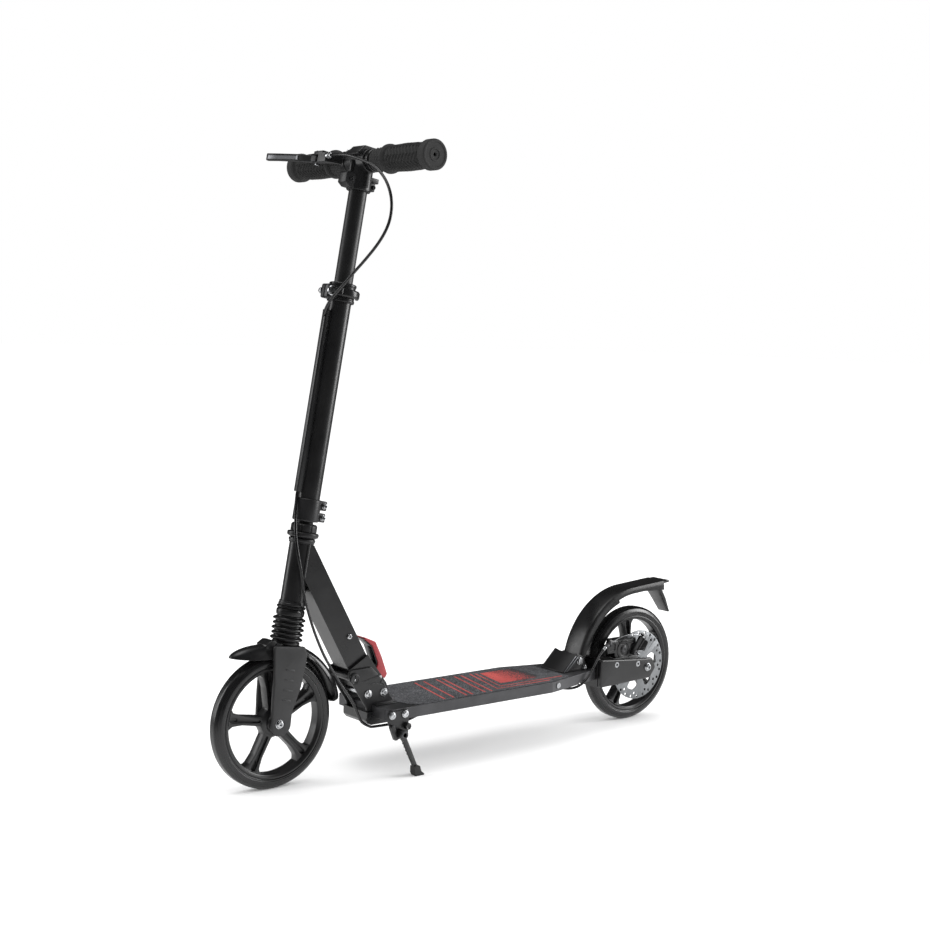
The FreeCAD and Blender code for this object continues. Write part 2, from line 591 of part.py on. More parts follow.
# ---------------------------------------------------------------- steering column
def steering_column():
    """Steerer, outer tube, collar, clamp, cable duct and bellows."""
    steerer, outer = W.steerer_dia / 2, W.outer_dia / 2
    inner = W.upper_dia / 2 + W.run_gap
    slide_bore = W.slider_dia / 2 + W.run_gap
    race_low = W.head_low - 4.3
    keep("steerer_tube", turned([
        (slide_bore, race_low), (25, race_low), (25, W.head_low - 0.3),
        (steerer, W.head_low - 0.3), (steerer, W.outer_low), (inner, W.outer_low),
        (inner, W.outer_low + 55), (slide_bore, W.outer_low + 55)]), COLUMN)

    top = W.head_high + 0.3
    cap = turned([(steerer, top), (20, top), (27, top + 4), (27, top + 11), (steerer, top + 11)])
    nut = turned([(steerer, top + 11.5), (22.5, top + 11.5), (22.5, top + 24), (20, top + 26),
                  (steerer, top + 26)])
    keep("headset_nuts", group(cap, nut), COLUMN)

    keep("outer_tube", ring((0, 0, W.outer_low), outer, inner, W.outer_high - W.outer_low), COLUMN)

    collar_r = outer + W.collar_wall
    span = (W.collar_low + 3, W.collar_high)
    sleeve = rod((0, 0, span[0]), collar_r, span[1] - span[0])
    ears = [box((-34, -14), (-11, 11), limits) for limits in ((344, 360), (364, 381))]
    slit = box((-40, -10), (-1.2, 1.2), (330, 390))
    bore = rod((0, 0, 0), outer, 800)
    back = COLLAR_BOLT_BACK
    holes = [rod((back, -30, z), 2.5, 60, "y") for z in COLLAR_BOLTS]
    keep("stem_collar", cut(fuse(sleeve, *ears), slit, bore, *holes), COLUMN)
    bolts = [fuse(rod((back, -11, z), 2.5, 22, "y"), rod((back, 11, z), 4.6, 4, "y"),
                  rod((back, -14, z), 4, 3, "y")) for z in COLLAR_BOLTS]
    keep("collar_bolts", group(*bolts), COLUMN)

    half, front = W.duct_width / 2, W.duct_front
    duct = box((outer - 4, front), (-half, half), (W.duct_low, W.duct_high))
    duct = soften(duct, 2.5, lambda e: e.BoundBox.ZLength > 100 and e.BoundBox.XMax > 28)
    keep("cable_duct", cut(duct, rod((0, 0, 0), outer, 800),
                           rod((CABLE_AHEAD, 0, 300), W.cable_dia / 2 + 0.3, 500)), COLUMN)

    clamp_r = outer + W.clamp_wall
    low, high = W.clamp_low, W.clamp_high
    ring_body = rod((0, 0, low), clamp_r, high - low)
    ears = box((14, 36), (-12, 12), (low + 2, high - 6))
    seat = rod((0, 0, 600), outer, W.outer_high - 600)
    above = rod((0, 0, low), inner, 100)
    slit = box((10, 40), (-1.3, 1.3), (low - 5, high + 5))
    skewer_z = (low + high) / 2 - 1
    ahead = SKEWER_AHEAD
    hole = rod((ahead, -40, skewer_z), 3, 80, "y")
    keep("height_clamp", cut(fuse(ring_body, ears), seat, above, slit, hole), COLUMN)
    barrel = rod((ahead, CAM_SIDE, skewer_z - 6.5), 3.5, 13)
    rod_part = rod((ahead, -20, skewer_z), 3, 20 + CAM_SIDE, "y")
    nut = rod((ahead, -19, skewer_z), 5.5, 7, "y")
    tip = cone((ahead, -25, skewer_z), 2.5, 5.5, 6, "y")
    keep("clamp_skewer", fuse(rod_part, barrel, nut, tip), COLUMN)
    return skewer_z


def clamp_lever(skewer_z):
    """Quick-release lever that wraps the left side of the clamp."""
    reach, thick = W.outer_dia / 2 + W.clamp_wall + 1.3, 6
    height = W.lever_height
    low = skewer_z - height / 2
    band = doc.addObject("Part::Cylinder", "Rod")
    put(band, Radius=reach + thick, Height=height, Angle=112)
    band.Placement = at(0, 0, low, Rotation(Z_AXIS, 48))
    inside = rod((0, 0, low - 1), reach, 40)
    boss = rod((SKEWER_AHEAD, CAM_SIDE, low), 6, height)
    web = plate([(SKEWER_AHEAD, CAM_SIDE + 6), (15, 27), (13, 22), (19, 17),
                 (SKEWER_AHEAD, CAM_SIDE - 5)], low, low + height, "z")
    pocket = rod((SKEWER_AHEAD, CAM_SIDE, low - 1), 3.5 + W.run_gap, height + 2)
    fork = box((25.4, 40), (5, 30), (skewer_z - 3.6, skewer_z + 3.6))
    keep("clamp_lever", cut(fuse(band, boss, web), inside, pocket, fork), COLUMN)


def bellows():
    """Rubber boot round the suspension slider."""
    big, small = W.bellows_dia / 2 + 2, W.bellows_dia / 2 - 5
    low, high = W.bellows_low + 0.3, W.bellows_high - 0.3
    folds = 5
    step = (high - low) / folds
    profile = [(14, low)]
    for i in range(folds):
        profile += [(small, low + step * i), (big, low + step * (i + 0.5))]
    profile += [(small, high), (14, high)]
    keep("bellows", turned(profile), COLUMN)


# ---------------------------------------------------------------- handlebar
def handlebar():
    """Upper tube, T-head, crossbar, rings and grips."""
    upper, bar = W.upper_dia / 2, W.bar_dia / 2
    keep("upper_tube", ring((0, 0, W.upper_low), upper, upper - 2.4, W.upper_high - W.upper_low),
         COLUMN)
    centre = W.bar_height
    half = W.head_half
    boss = rod((0, -half, centre), bar + 4.5, half * 2, "y")
    socket = rod((0, 0, W.upper_high - 18), 21, centre - W.upper_high + 18)
    top = soften(box((-15, 15), (-half + 6, half - 6), (centre, centre + 24.5)), 5,
                 lambda e: e.BoundBox.XLength > 20 and e.BoundBox.ZMin > float(centre) + 20)
    front = soften(box((12, 33), (-12, 12), (W.upper_high - 16, W.upper_high + 10)), 3,
                   lambda e: e.BoundBox.YLength > 20)
    rear = box((-31, -12), (-9, 9), (W.upper_high - 12, W.upper_high + 6))
    slit = box((-40, -10), (-1.2, 1.2), (W.upper_high - 30, W.upper_high + 12))
    bore = rod((0, 0, W.upper_high - 60), upper, 60)
    bar_bore = rod((0, -half - 1, centre), bar, half * 2 + 2, "y")
    keep("t_head", cut(fuse(boss, socket, top, front, rear), slit, bore, bar_bore), COLUMN)
    bar_half = W.bar_half
    crossbar = cut(rod((0, -bar_half, centre), bar, bar_half * 2, "y"),
                   rod((0, -bar_half - 1, centre), bar - W.bar_wall, bar_half * 2 + 2, "y"))
    keep("crossbar", group(crossbar, ring((0, half + 2.5, centre), bar + 4, bar, 10, "y")), COLUMN)

    start, end = W.grip_start, W.grip_end
    grip_r, flange = bar + W.grip_wall, bar + W.flange_wall
    profile = [(bar, start), (grip_r - 2, start), (grip_r - 1, start + 30), (flange - 0.5, start + 35),
               (flange - 0.5, start + 41), (grip_r - 1.5, start + 45), (grip_r, start + 80),
               (grip_r - 1.5, end - 24), (flange, end - 20), (flange, end), (8, end),
               (8, bar_half + 1), (bar, bar_half + 1)]
    for name, flip in (("grip_left", 0), ("grip_right", 180)):
        grip = turned(profile)
        # a spin about Z after the tilt puts the same grip on either end of the bar
        grip.Placement = at(0, 0, centre, Rotation(Z_AXIS, flip).multiply(Rotation(X_AXIS, -90)))
        keep(name, grip, COLUMN)


def brake_lever():
    """Perch with its cable adjuster, and the lever blade in front of the right grip."""
    centre = W.bar_height
    bar = W.bar_dia / 2
    x, y = LEVER_AHEAD, LEVER_SIDE
    clamp = rod((0, -W.head_half - 13.2, centre), bar + 5, 12.6, "y")
    arm = plate([(12, -29.5), (30, -40), (44, -50, 3), (44, y + 3), (42, y - 9, 4), (30, y - 9, 4),
                 (30, -60), (14, -42)], centre - 8, centre + 10, "z")
    slot = box((x - 13, x + 20), (y - 15, y + 12), (centre - 4.3, centre + 6.3))
    bar_space = rod((0, -60, centre), bar, 50, "y")
    grip_space = rod((0, -200, centre), bar + W.flange_wall + 0.3,
                     200 - W.grip_start + 0.3, "y")
    pin_hole = rod((x, y, centre - 20), 3, 40)
    barrel_hole = rod((41, -52, centre + 3), 4.2, 20, "y")
    keep("lever_perch", cut(fuse(clamp, arm), bar_space, slot, grip_space, pin_hole, barrel_hole),
         COLUMN)
    pin = fuse(rod((x, y, centre - 8), 3, 18), rod((x, y, centre + 10), 5, 2))

    blade = plate([(x - 5.5, y + 5, 4), (x + 7, y + 6, 4), (x + 9, y - 8), (x + 24, -118, 20),
                   (x + 38, -160, 15), (x + 45, -183, 4), (x + 36, -186, 4), (x + 29, -160, 15),
                   (x + 13, -118, 20), (x - 6, y - 8, 5)], centre - 4, centre + 6, "z")
    blade = cut(blade, rod((x, y, centre - 20), 3 + W.run_gap, 40))
    keep("brake_lever", blade, COLUMN)
    barrel = fuse(rod((41, -52, centre + 3), 4.2, 12, "y"), rod((41, -40, centre + 3), 3.4, 4, "y"))
    keep("lever_fittings", group(pin, barrel), COLUMN)


# ---------------------------------------------------------------- front fork
def front_fork():
    """Slider, crown, legs, split fender and axle."""
    inner, thick = W.leg_inner, W.leg_thick
    slider = W.slider_dia / 2
    keep("fork_slider", ring((0, 0, W.crown_low + 1), slider, slider - 3, 170), COLUMN)
    block = soften(box((-26, 30), (-inner, inner), (W.crown_low, W.crown_high)), 2.5,
                   lambda e: e.BoundBox.YLength > 20)
    keep("fork_crown", cut(block, rod((0, 0, 0), slider, 300)), COLUMN)

    x, z = FRONT_X, AXLE_Z
    top = z + WHEEL_R
    outline = [(x + 12, top + 19.5, 4), (x - 50, top + 12, 4), (x - 54, top - 3),
               (x - 50, top - 25), (x - 41, z + 54), (x - 25, z + 18), (x - 22, z - 21, 17),
               (x + 17, z - 21, 17), (x + 15, z + 10), (x + 14, z + 44), (x + 11, z + 78)]
    axle = rod((x, -80, z), W.axle_dia / 2, 160, "y")
    for name, sign in (("fork_leg_left", 1), ("fork_leg_right", -1)):
        low, high = (inner, inner + thick) if sign > 0 else (-inner - thick, -inner)
        face = sign * (inner + thick)
        steps = []
        for i in range(5):
            up, along = top - 23 - 15 * i, x - 21 - 2.6 * i
            steps.append(box((along - 7, along + 7), (face - 0.8, face + 0.8), (up, up + 1.6)))
        keep(name, cut(plate(outline, low, high), axle, *steps))
    face = inner + thick
    hub = W.hub_width / 2
    shank = rod((x, -face, z), W.axle_dia / 2, face * 2, "y")
    heads = [rod((x, y, z), 7, 4, "y") for y in (-face - 4, face)]
    washers = [rod((x, y, z), 7, inner - hub - 0.2, "y") for y in (hub + 0.2, -inner)]
    keep("front_axle", fuse(shank, *heads, *washers))


def swept_channel(path_edges, start, outward, width, thick, skirt):
    """A fender: a channel section pulled along its path."""
    wire = Part.Wire(path_edges)
    half = width / 2

    def corner(across, out):
        return start + Y_AXIS * across + outward * out

    loop = [corner(-half, -skirt), corner(-half, 0), corner(-half + 5, thick), corner(half - 5, thick),
            corner(half, 0), corner(half, -skirt), corner(half - thick, -skirt),
            corner(half - thick, -0.5), corner(half - 5.5, 0), corner(-half + 5.5, 0),
            corner(-half + thick, -0.5), corner(-half + thick, -skirt)]
    section = Part.makePolygon(loop + [loop[0]])
    solid = wire.makePipeShell([section], True, False)
    if solid.Volume < 0:
        solid.reverse()
    feature = doc.addObject("Part::Feature", "Channel")
    feature.Shape = solid
    return feature


def around(centre, radius, degrees):
    """A point on a circle in the scooter's side plane."""
    angle = math.radians(degrees)
    return centre + Vector(math.cos(angle), 0, math.sin(angle)) * radius


def arc_edge(centre, radius, first, last):
    """An arc between two angles."""
    points = [around(centre, radius, a) for a in (first, (first + last) / 2, last)]
    return Part.Arc(*points).toShape()


def front_fender():
    """Blade over the front wheel, in two pieces that butt on the crown."""
    centre = Vector(float(FRONT_X), 0, float(AXLE_Z))
    radius = float(WHEEL_R + W.front_fender_gap)
    width, thick = float(W.fender_width) - 2, float(W.fender_thick)
    first, last = 80, 168
    lead = around(centre, radius, first)
    tangent = Vector(math.sin(math.radians(first)), 0, -math.cos(math.radians(first)))
    tip = lead + tangent * 63
    path = [Part.LineSegment(tip, lead).toShape(), arc_edge(centre, radius, first, last)]
    outward = Vector(math.cos(math.radians(first)), 0, math.sin(math.radians(first)))
    blade = swept_channel(path, tip, outward, width, thick, 7)
    crown = box((-26, 30), (-60, 60), (W.crown_low - 40, W.crown_high + 60))
    crown.Placement = COLUMN.multiply(crown.Placement)
    along, tall = (FRONT_X - 60, FRONT_X + 20), (AXLE_Z, AXLE_Z + WHEEL_R + 45)
    legs = [box(along, across, tall)
            for across in ((W.leg_inner - 0.1, 60), (-60, -W.leg_inner + 0.1))]
    keep("front_fender", cut(blade, crown, *legs))


def rear_fender():
    """Blade over the rear wheel with its hinge barrel and the mud flap."""
    centre = Vector(float(REAR_X), 0, float(AXLE_Z))
    radius = float(WHEEL_R + W.rear_fender_gap)
    width, thick = float(W.fender_width), float(W.fender_thick)
    # the blade comes down to one height above the deck, whatever the size of the wheel
    last = math.degrees(math.asin(float(DECK_TOP + W.fender_foot_up - AXLE_Z) / radius))
    over = around(centre, radius, 90)
    back = over - Vector(93, 0, 0)
    foot = around(centre, radius, last)
    heel = foot + Vector(math.sin(math.radians(last)), 0, -math.cos(math.radians(last))) * 17
    path = [Part.LineSegment(back, over).toShape(), arc_edge(centre, radius, 90, last),
            Part.LineSegment(foot, heel).toShape()]
    blade = swept_channel(path, back, Z_AXIS, width, thick, 11)
    x, z = HINGE_X, HINGE_Z
    barrel = rod((x, -CHEEK + 0.6, z), 6.5, CHEEK * 2 - 1.2, "y")
    web = plate([(x - 3, z - 5), (x + 3, z + 5), (heel.x + 1, heel.z + 14.3),
                 (heel.x - 6, heel.z + 14.3), (x - 14, z - 2)], -width / 2 + 1, width / 2 - 1)
    pin = rod((x, -60, z), 3 + W.run_gap, 120, "y")
    x, z = REAR_X - 20, over.z - 5
    flap = plate([(x, z), (x - 5, z), (x - 43, z - 24), (x - 85, z - 53, 3), (x - 83, z - 58, 2),
                  (x - 53, z - 48), (x, z - 5)], -width / 2 + 3, width / 2 - 3)
    keep("rear_fender", group(cut(fuse(blade, barrel, web), pin), flap))


# ---------------------------------------------------------------- wheels
def spoke_points():
    """Outline of one forked spoke, pointing along +X of the wheel's plane."""
    end = TYRE_BORE_R - 6.5
    side = [(13, 7.5), (40, 6.5), (end - 28.5, 7.5), (end - 10.5, 17), (end, 22)]
    notch = [(end, 9), (end - 10.5, 5), (end - 22.5, 0)]
    return side + notch + [(a, -b) for a, b in reversed(side + notch[:-1])]


def wheel(prefix, axle_x, rotor_boss):
    """Tyre, rim with five forked spokes, and a pair of bearings."""
    frame = at(axle_x, 0, AXLE_Z)
    radius, half, bore = WHEEL_R, W.tyre_width / 2, TYRE_BORE_R
    flat = W.tyre_flat / 2
    tyre = turned([(bore, -half + 1), (bore + 4, -half), (radius - 8, -half), (radius - 2.2, -half + 4),
                   (radius, -flat), (radius, flat), (radius - 2.2, half - 4), (radius - 8, half),
                   (bore + 4, half), (bore, half - 1)], "y")
    keep(f"{prefix}_tyre", tyre, frame)

    hub, hub_half = W.hub_dia / 2, W.hub_width / 2
    seat, deep = W.bearing_dia / 2, W.bearing_width
    barrel = turned([(bore - 8, -12), (bore, -12.5), (bore, 12.5), (bore - 8, 12)], "y")
    left_face = rotor_boss if rotor_boss else hub_half
    core = rod((0, -hub_half, 0), hub, hub_half + left_face, "y")
    spokes = []
    for i in range(5):
        spoke = plate(spoke_points(), -9, 9)
        spoke.Placement = Placement(Vector(), Rotation(Y_AXIS, 72 * i - 10)).multiply(spoke.Placement)
        spokes.append(spoke)
    carrier = [rod((0, hub_half - 6, 0), 25, left_face - hub_half + 6, "y")] if rotor_boss else []
    space = [rod((0, -hub_half, 0), seat, deep, "y"), rod((0, hub_half - deep, 0), seat, 60, "y"),
             rod((0, -60, 0), 7.5, 120, "y")]
    keep(f"{prefix}_rim", cut(fuse(barrel, core, *spokes, *carrier), *space), frame)
    axle = W.axle_dia / 2 + W.run_gap
    pair = [ring((0, y, 0), seat, axle, deep, "y") for y in (-hub_half, hub_half - deep)]
    keep(f"{prefix}_bearings", group(*pair), frame)


def disc_rotor():
    """Brake rotor with two rows of holes and slots, and its bolts."""
    y, thick, outer = W.rotor_y, W.rotor_thick, W.rotor_dia / 2
    disc = ring((0, y, 0), outer, 15, thick, "y")
    cuts = []
    for i in range(24):
        angle = math.radians(15 * i)
        reach = float(outer) - (4.5 if i % 2 else 11)
        cuts.append(rod((reach * math.cos(angle), 20, reach * math.sin(angle)), 2.3, 20, "y"))
    for i in range(6):
        window = plate([(30, -9, 4), (52, -14, 5), (52, 14, 5), (30, 9, 4)], 20, 40)
        window.Placement = Placement(Vector(), Rotation(Y_AXIS, 60 * i)).multiply(window.Placement)
        cuts.append(window)
    bolts = []
    for i in range(6):
        angle = math.radians(60 * i + 30)
        bolts.append(rod((20.5 * math.cos(angle), y + thick, 20.5 * math.sin(angle)), 2.8, 1.6, "y"))
    keep("disc_rotor", group(cut(disc, *cuts), *bolts), at(REAR_X, 0, AXLE_Z))


# ---------------------------------------------------------------- brake cable
def brake_cable():
    """The cable from lever to caliper, one piece for each body that carries it."""
    duct = CABLE_AHEAD
    start = steer_point(41, -35.9, W.bar_height + 3)
    cord("cable_loop", [
        start, (300, -12, 1075), (299, 18, 1071), (299, 52, 1062), (300, 91, 1047), (303, 119, 1026),
        (306, 136, 1002), (309, 142, 978), (313, 138, 954), (318, 121, 930), (324, 94, 906),
        (330, 65, 881), (335.5, 46, 865), (339, 30, 850), (338, 15, 829),
        steer_point(duct, 0, W.duct_high + 8.5), steer_point(duct, 0, W.duct_high + 0.3)])
    cord("cable_stem", [
        steer_point(duct, 0, W.duct_high), steer_point(duct, 0, W.duct_low - 14),
        (390, 9, 462), (396, 19, 431), (394.5, 26, 398), (387.5, 27.5, 366), (383, 26, 339)])
    cord("cable_front", [
        (383, 26, 338.7), (379, 27, 318), (372, 28, 296), (364, 29, 272), (354, 30, 248),
        (341, 30, 222), (325, 30, 197), (308, 29, 172), (290, 28, 150), (275, 27, 129),
        (265, 27, 109), (257, 28, 91), (238, 30, 83.5)])
    groove = float(DECK_LOW) + 3.5
    cord("cable_deck", [
        (237, 30, 83.5), (214, 33, 83.5), (186, 38, 85), (160, 44, 90), (134, 49, groove - 3),
        (106, 51, groove), (46, 51.5, groove), (-14, 50.5, groove), (-74, 51.5, groove),
        (-134, 50.5, groove), (-180, 52, groove - 1), (-212, 55, 97), (-236, 58, 99),
        (-256, 58, 109), (-272, 56, 124), (-288, 52.5, 142), (-303, 49, 156), (-319, 46.5, 166.5)])


def check_and_write():
    """Stop on any failed object, then write one STEP file for each sub-part."""
    doc.recompute()
    for thing in doc.Objects:
        if "Invalid" in thing.State or "Error" in thing.State:
            raise SystemExit(f"{thing.Label} ({thing.Name}) failed: {thing.State}")
    os.makedirs("parts", exist_ok=True)
    for name, thing in PARTS.items():
        shape = thing.Shape
        if shape.isNull() or not shape.isValid() or not shape.Solids:
            raise SystemExit(f"{name} has no valid solid")
        shape.exportStep(f"parts/{name}.step")
    print(len(PARTS), "sub-parts,", sum(len(p.Shape.Solids) for p in PARTS.values()), "solids")


deck_group()
fold_bracket()
rear_fork()
fender_bracket()
deck_bolts()
brake()
kickstand()
front_frame()
release_pedal()
clamp_lever(steering_column())
bellows()
handlebar()
brake_lever()
front_fork()
front_fender()
rear_fender()
wheel("front", FRONT_X, 0)
wheel("rear", REAR_X, W.rotor_y)
disc_rotor()
brake_cable()
check_and_write()
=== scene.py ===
"""Looks of a folding kick scooter: meshes and finishes around its working model.

The working model holds every size and every joint. This script gives each part its finish and
puts finer meshes in place of the parts whose surface needs more than a machined shape.
Lengths are in millimetres while a mesh is drawn, and turn to metres when it is finished.
+X points forward, +Y to the rider's left, +Z up.
"""

from __future__ import annotations

import json
import logging
import math
from dataclasses import dataclass, field
from enum import Enum
from typing import Callable, Iterable, Sequence

import bmesh
import bpy
from mathutils import Matrix, Vector


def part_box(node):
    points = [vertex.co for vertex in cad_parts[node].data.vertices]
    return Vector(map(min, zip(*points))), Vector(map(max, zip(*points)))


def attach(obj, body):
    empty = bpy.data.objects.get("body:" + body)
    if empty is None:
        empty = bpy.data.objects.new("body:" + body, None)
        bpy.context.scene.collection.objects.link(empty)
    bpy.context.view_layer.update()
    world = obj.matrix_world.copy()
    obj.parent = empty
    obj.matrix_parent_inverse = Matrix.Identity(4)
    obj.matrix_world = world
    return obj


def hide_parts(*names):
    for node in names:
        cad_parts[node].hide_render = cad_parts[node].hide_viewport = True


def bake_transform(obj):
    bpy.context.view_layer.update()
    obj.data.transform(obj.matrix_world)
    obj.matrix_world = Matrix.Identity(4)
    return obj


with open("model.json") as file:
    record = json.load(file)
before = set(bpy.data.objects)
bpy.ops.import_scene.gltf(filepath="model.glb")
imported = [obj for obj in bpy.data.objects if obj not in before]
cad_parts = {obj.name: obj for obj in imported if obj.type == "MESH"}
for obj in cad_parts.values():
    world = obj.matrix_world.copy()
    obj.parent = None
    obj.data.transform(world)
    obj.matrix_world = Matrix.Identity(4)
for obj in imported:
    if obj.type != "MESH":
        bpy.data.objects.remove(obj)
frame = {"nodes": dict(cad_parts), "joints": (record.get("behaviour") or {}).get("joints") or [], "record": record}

log = logging.getLogger("scooter")
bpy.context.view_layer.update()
MM = 0.001
Point = Sequence[float]
Shape = bmesh.types.BMesh
Thing = bpy.types.Object
Socket = bpy.types.NodeSocket
Tree = bpy.types.NodeTree


# ------------------------------------------------------------------ places from the frame
def low_high(node: str) -> tuple[Vector, Vector]:
    """Box of a CAD node.

    Args:
        node: name of the node.

    Returns:
        Its lowest and highest corners in millimetres.
    """
    low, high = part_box(node)
    return low / MM, high / MM


def middle(node: str) -> Vector:
    """Centre of a CAD node's box, in millimetres."""
    low, high = low_high(node)
    return (low + high) / 2


def joint(name: str) -> dict:
    """The record's joint of that name."""
    return next(entry for entry in frame["joints"] if entry["name"] == name)


def steering_frame() -> Matrix:
    """Frame of the steering axis: Z up along it, its foot level with the front axle."""
    steer = joint("steer")
    up = Vector(steer["axis"]).normalized()
    point = Vector(steer["pos_m"]) / MM
    foot = point - up * ((point.z - middle("front_axle").z) / up.z)
    ahead = Vector((0, 1, 0)).cross(up)
    turn = Matrix((ahead, (0, 1, 0), up)).transposed()
    return Matrix.Translation(foot) @ turn.to_4x4()


STEERING = steering_frame()
UPRIGHT = Matrix.Identity(4)
AXLE_HEIGHT = middle("front_axle").z


# ------------------------------------------------------------------ drawing shapes
class Axis(Enum):
    """The direction in which a slab is thick or about which a shape is turned."""

    X = "x"
    Y = "y"
    Z = "z"

    def turn(self) -> Matrix:
        """Rotation that lays a shape drawn about Z along this axis."""
        if self is Axis.X:
            return Matrix.Rotation(math.pi / 2, 4, "Y")
        if self is Axis.Y:
            return Matrix.Rotation(-math.pi / 2, 4, "X")
        return Matrix.Identity(4)


def rounded(corners: Sequence[Point], steps: int = 5) -> list[tuple[float, float]]:
    """Outline whose corners may be rounded.

    Args:
        corners: (a, b) or (a, b, radius) for each corner, in order round a closed outline.
        steps: straight pieces in each rounded corner.

    Returns:
        The outline's points.
    """
    points: list[tuple[float, float]] = []
    count = len(corners)
    for i, corner in enumerate(corners):
        here = Vector(corner[:2])
        if len(corner) < 3 or corner[2] <= 0:
            points.append((here.x, here.y))
            continue
        back = Vector(corners[i - 1][:2]) - here
        ahead = Vector(corners[(i + 1) % count][:2]) - here
        half = back.angle(ahead) / 2
        reach = min(corner[2] / math.tan(half), back.length * 0.499, ahead.length * 0.499)
        radius = reach * math.tan(half)
        back.normalize()
        ahead.normalize()
        centre = here + (back + ahead).normalized() * (radius / math.sin(half))
        first = here + back * reach - centre
        sweep = math.pi - 2 * half
        sweep *= 1 if back.x * ahead.y - back.y * ahead.x < 0 else -1
        for k in range(steps + 1):
            angle = sweep * k / steps
            cos, sin = math.cos(angle), math.sin(angle)
            spot = centre + Vector((first.x * cos - first.y * sin, first.x * sin + first.y * cos))
            points.append((spot.x, spot.y))
    return points


def slab(outline: Sequence[Point], low: float, high: float, across: Axis = Axis.Y) -> Shape:
    """A flat piece from its outline.

    Args:
        outline: (x, z) points for a slab across Y, or (x, y) points for a slab across Z.
        low: where the slab starts across its thickness.
        high: where it ends.
        across: the direction of its thickness, Y or Z.

    Returns:
        The closed shape.
    """
    shape = bmesh.new()
    if across is Axis.Y:
        verts = [shape.verts.new((a, low, b)) for a, b in outline]
        offset = Vector((0, high - low, 0))
    else:
        verts = [shape.verts.new((a, b, low)) for a, b in outline]
        offset = Vector((0, 0, high - low))
    face = shape.faces.new(verts)
    top = bmesh.ops.extrude_face_region(shape, geom=[face])
    moved = [v for v in top["geom"] if isinstance(v, bmesh.types.BMVert)]
    bmesh.ops.translate(shape, verts=moved, vec=offset)
    bmesh.ops.recalc_face_normals(shape, faces=shape.faces)
    return shape


def block(low: Point, high: Point) -> Shape:
    """A block between its lowest and highest corners."""
    shape = bmesh.new()
    size = Vector(high) - Vector(low)
    move = Matrix.Translation((Vector(low) + Vector(high)) / 2) @ Matrix.Diagonal((*size, 1))
    bmesh.ops.create_cube(shape, size=1, matrix=move)
    return shape


def rod(start: Point, radius: float, length: float, along: Axis = Axis.Z,
        sides: int = 40) -> Shape:
    """A round bar.

    Args:
        start: centre of its first end.
        radius: its radius.
        length: how far it runs along its axis.
        along: its axis.
        sides: how many sides its circle has.

    Returns:
        The closed shape.
    """
    shape = bmesh.new()
    move = Matrix.Translation(start) @ along.turn() @ Matrix.Translation((0, 0, length / 2))
    bmesh.ops.create_cone(shape, cap_ends=True, segments=sides, radius1=radius,
                          radius2=radius, depth=length, matrix=move)
    return shape


def turned(profile: Sequence[Point], about: Axis = Axis.Z, steps: int = 96,
           at: Point = (0, 0, 0)) -> Shape:
    """A turned piece.

    Args:
        profile: (radius, height) points of its closed half section.
        about: the axis that it is turned about.
        steps: how many steps the full turn has.
        at: the point where height is 0 on that axis.

    Returns:
        The closed shape.
    """
    shape = bmesh.new()
    verts = [shape.verts.new((radius, 0, height)) for radius, height in profile]
    edges = [shape.edges.new(pair) for pair in zip(verts, verts[1:] + verts[:1])]
    bmesh.ops.spin(shape, geom=verts + edges, cent=(0, 0, 0), axis=(0, 0, 1),
                   angle=math.tau, steps=steps, use_merge=True, use_duplicate=False)
    bmesh.ops.remove_doubles(shape, verts=shape.verts, dist=1e-4)
    bmesh.ops.transform(shape, matrix=Matrix.Translation(at) @ about.turn(), verts=shape.verts)
    bmesh.ops.recalc_face_normals(shape, faces=shape.faces)
    return shape


def placed(shape: Shape, move: Matrix) -> Shape:
    """The same shape after a move, in millimetres."""
    bmesh.ops.transform(shape, matrix=move, verts=shape.verts)
    if move.determinant() < 0:
        bmesh.ops.reverse_faces(shape, faces=shape.faces)
    return shape


def joined(*shapes: Shape) -> Shape:
    """Several shapes as one, side by side and not fused."""
    result = bmesh.new()
    for shape in shapes:
        mesh = bpy.data.meshes.new("carried")
        shape.to_mesh(mesh)
        result.from_mesh(mesh)
        bpy.data.meshes.remove(mesh)
        shape.free()
    return result


def softened(shape: Shape, width: float, segments: int = 2, sharper_than: float = 30) -> Shape:
    """The same shape with its sharp edges rounded.

    Args:
        shape: the shape to change.
        width: how wide the rounding is.
        segments: faces across the rounding.
        sharper_than: only edges that turn by more than this many degrees are rounded.

    Returns:
        The shape.
    """
    limit = math.radians(sharper_than)
    edges = [e for e in shape.edges if e.is_manifold and e.calc_face_angle(0) > limit]
    if edges:
        bmesh.ops.bevel(shape, geom=edges, offset=width, offset_type="OFFSET", affect="EDGES",
                        segments=segments, profile=0.5, material=-1, clamp_overlap=True)
    return shape


class Join(Enum):
    """How two solid shapes combine."""

    ADD = "UNION"
    CUT = "DIFFERENCE"


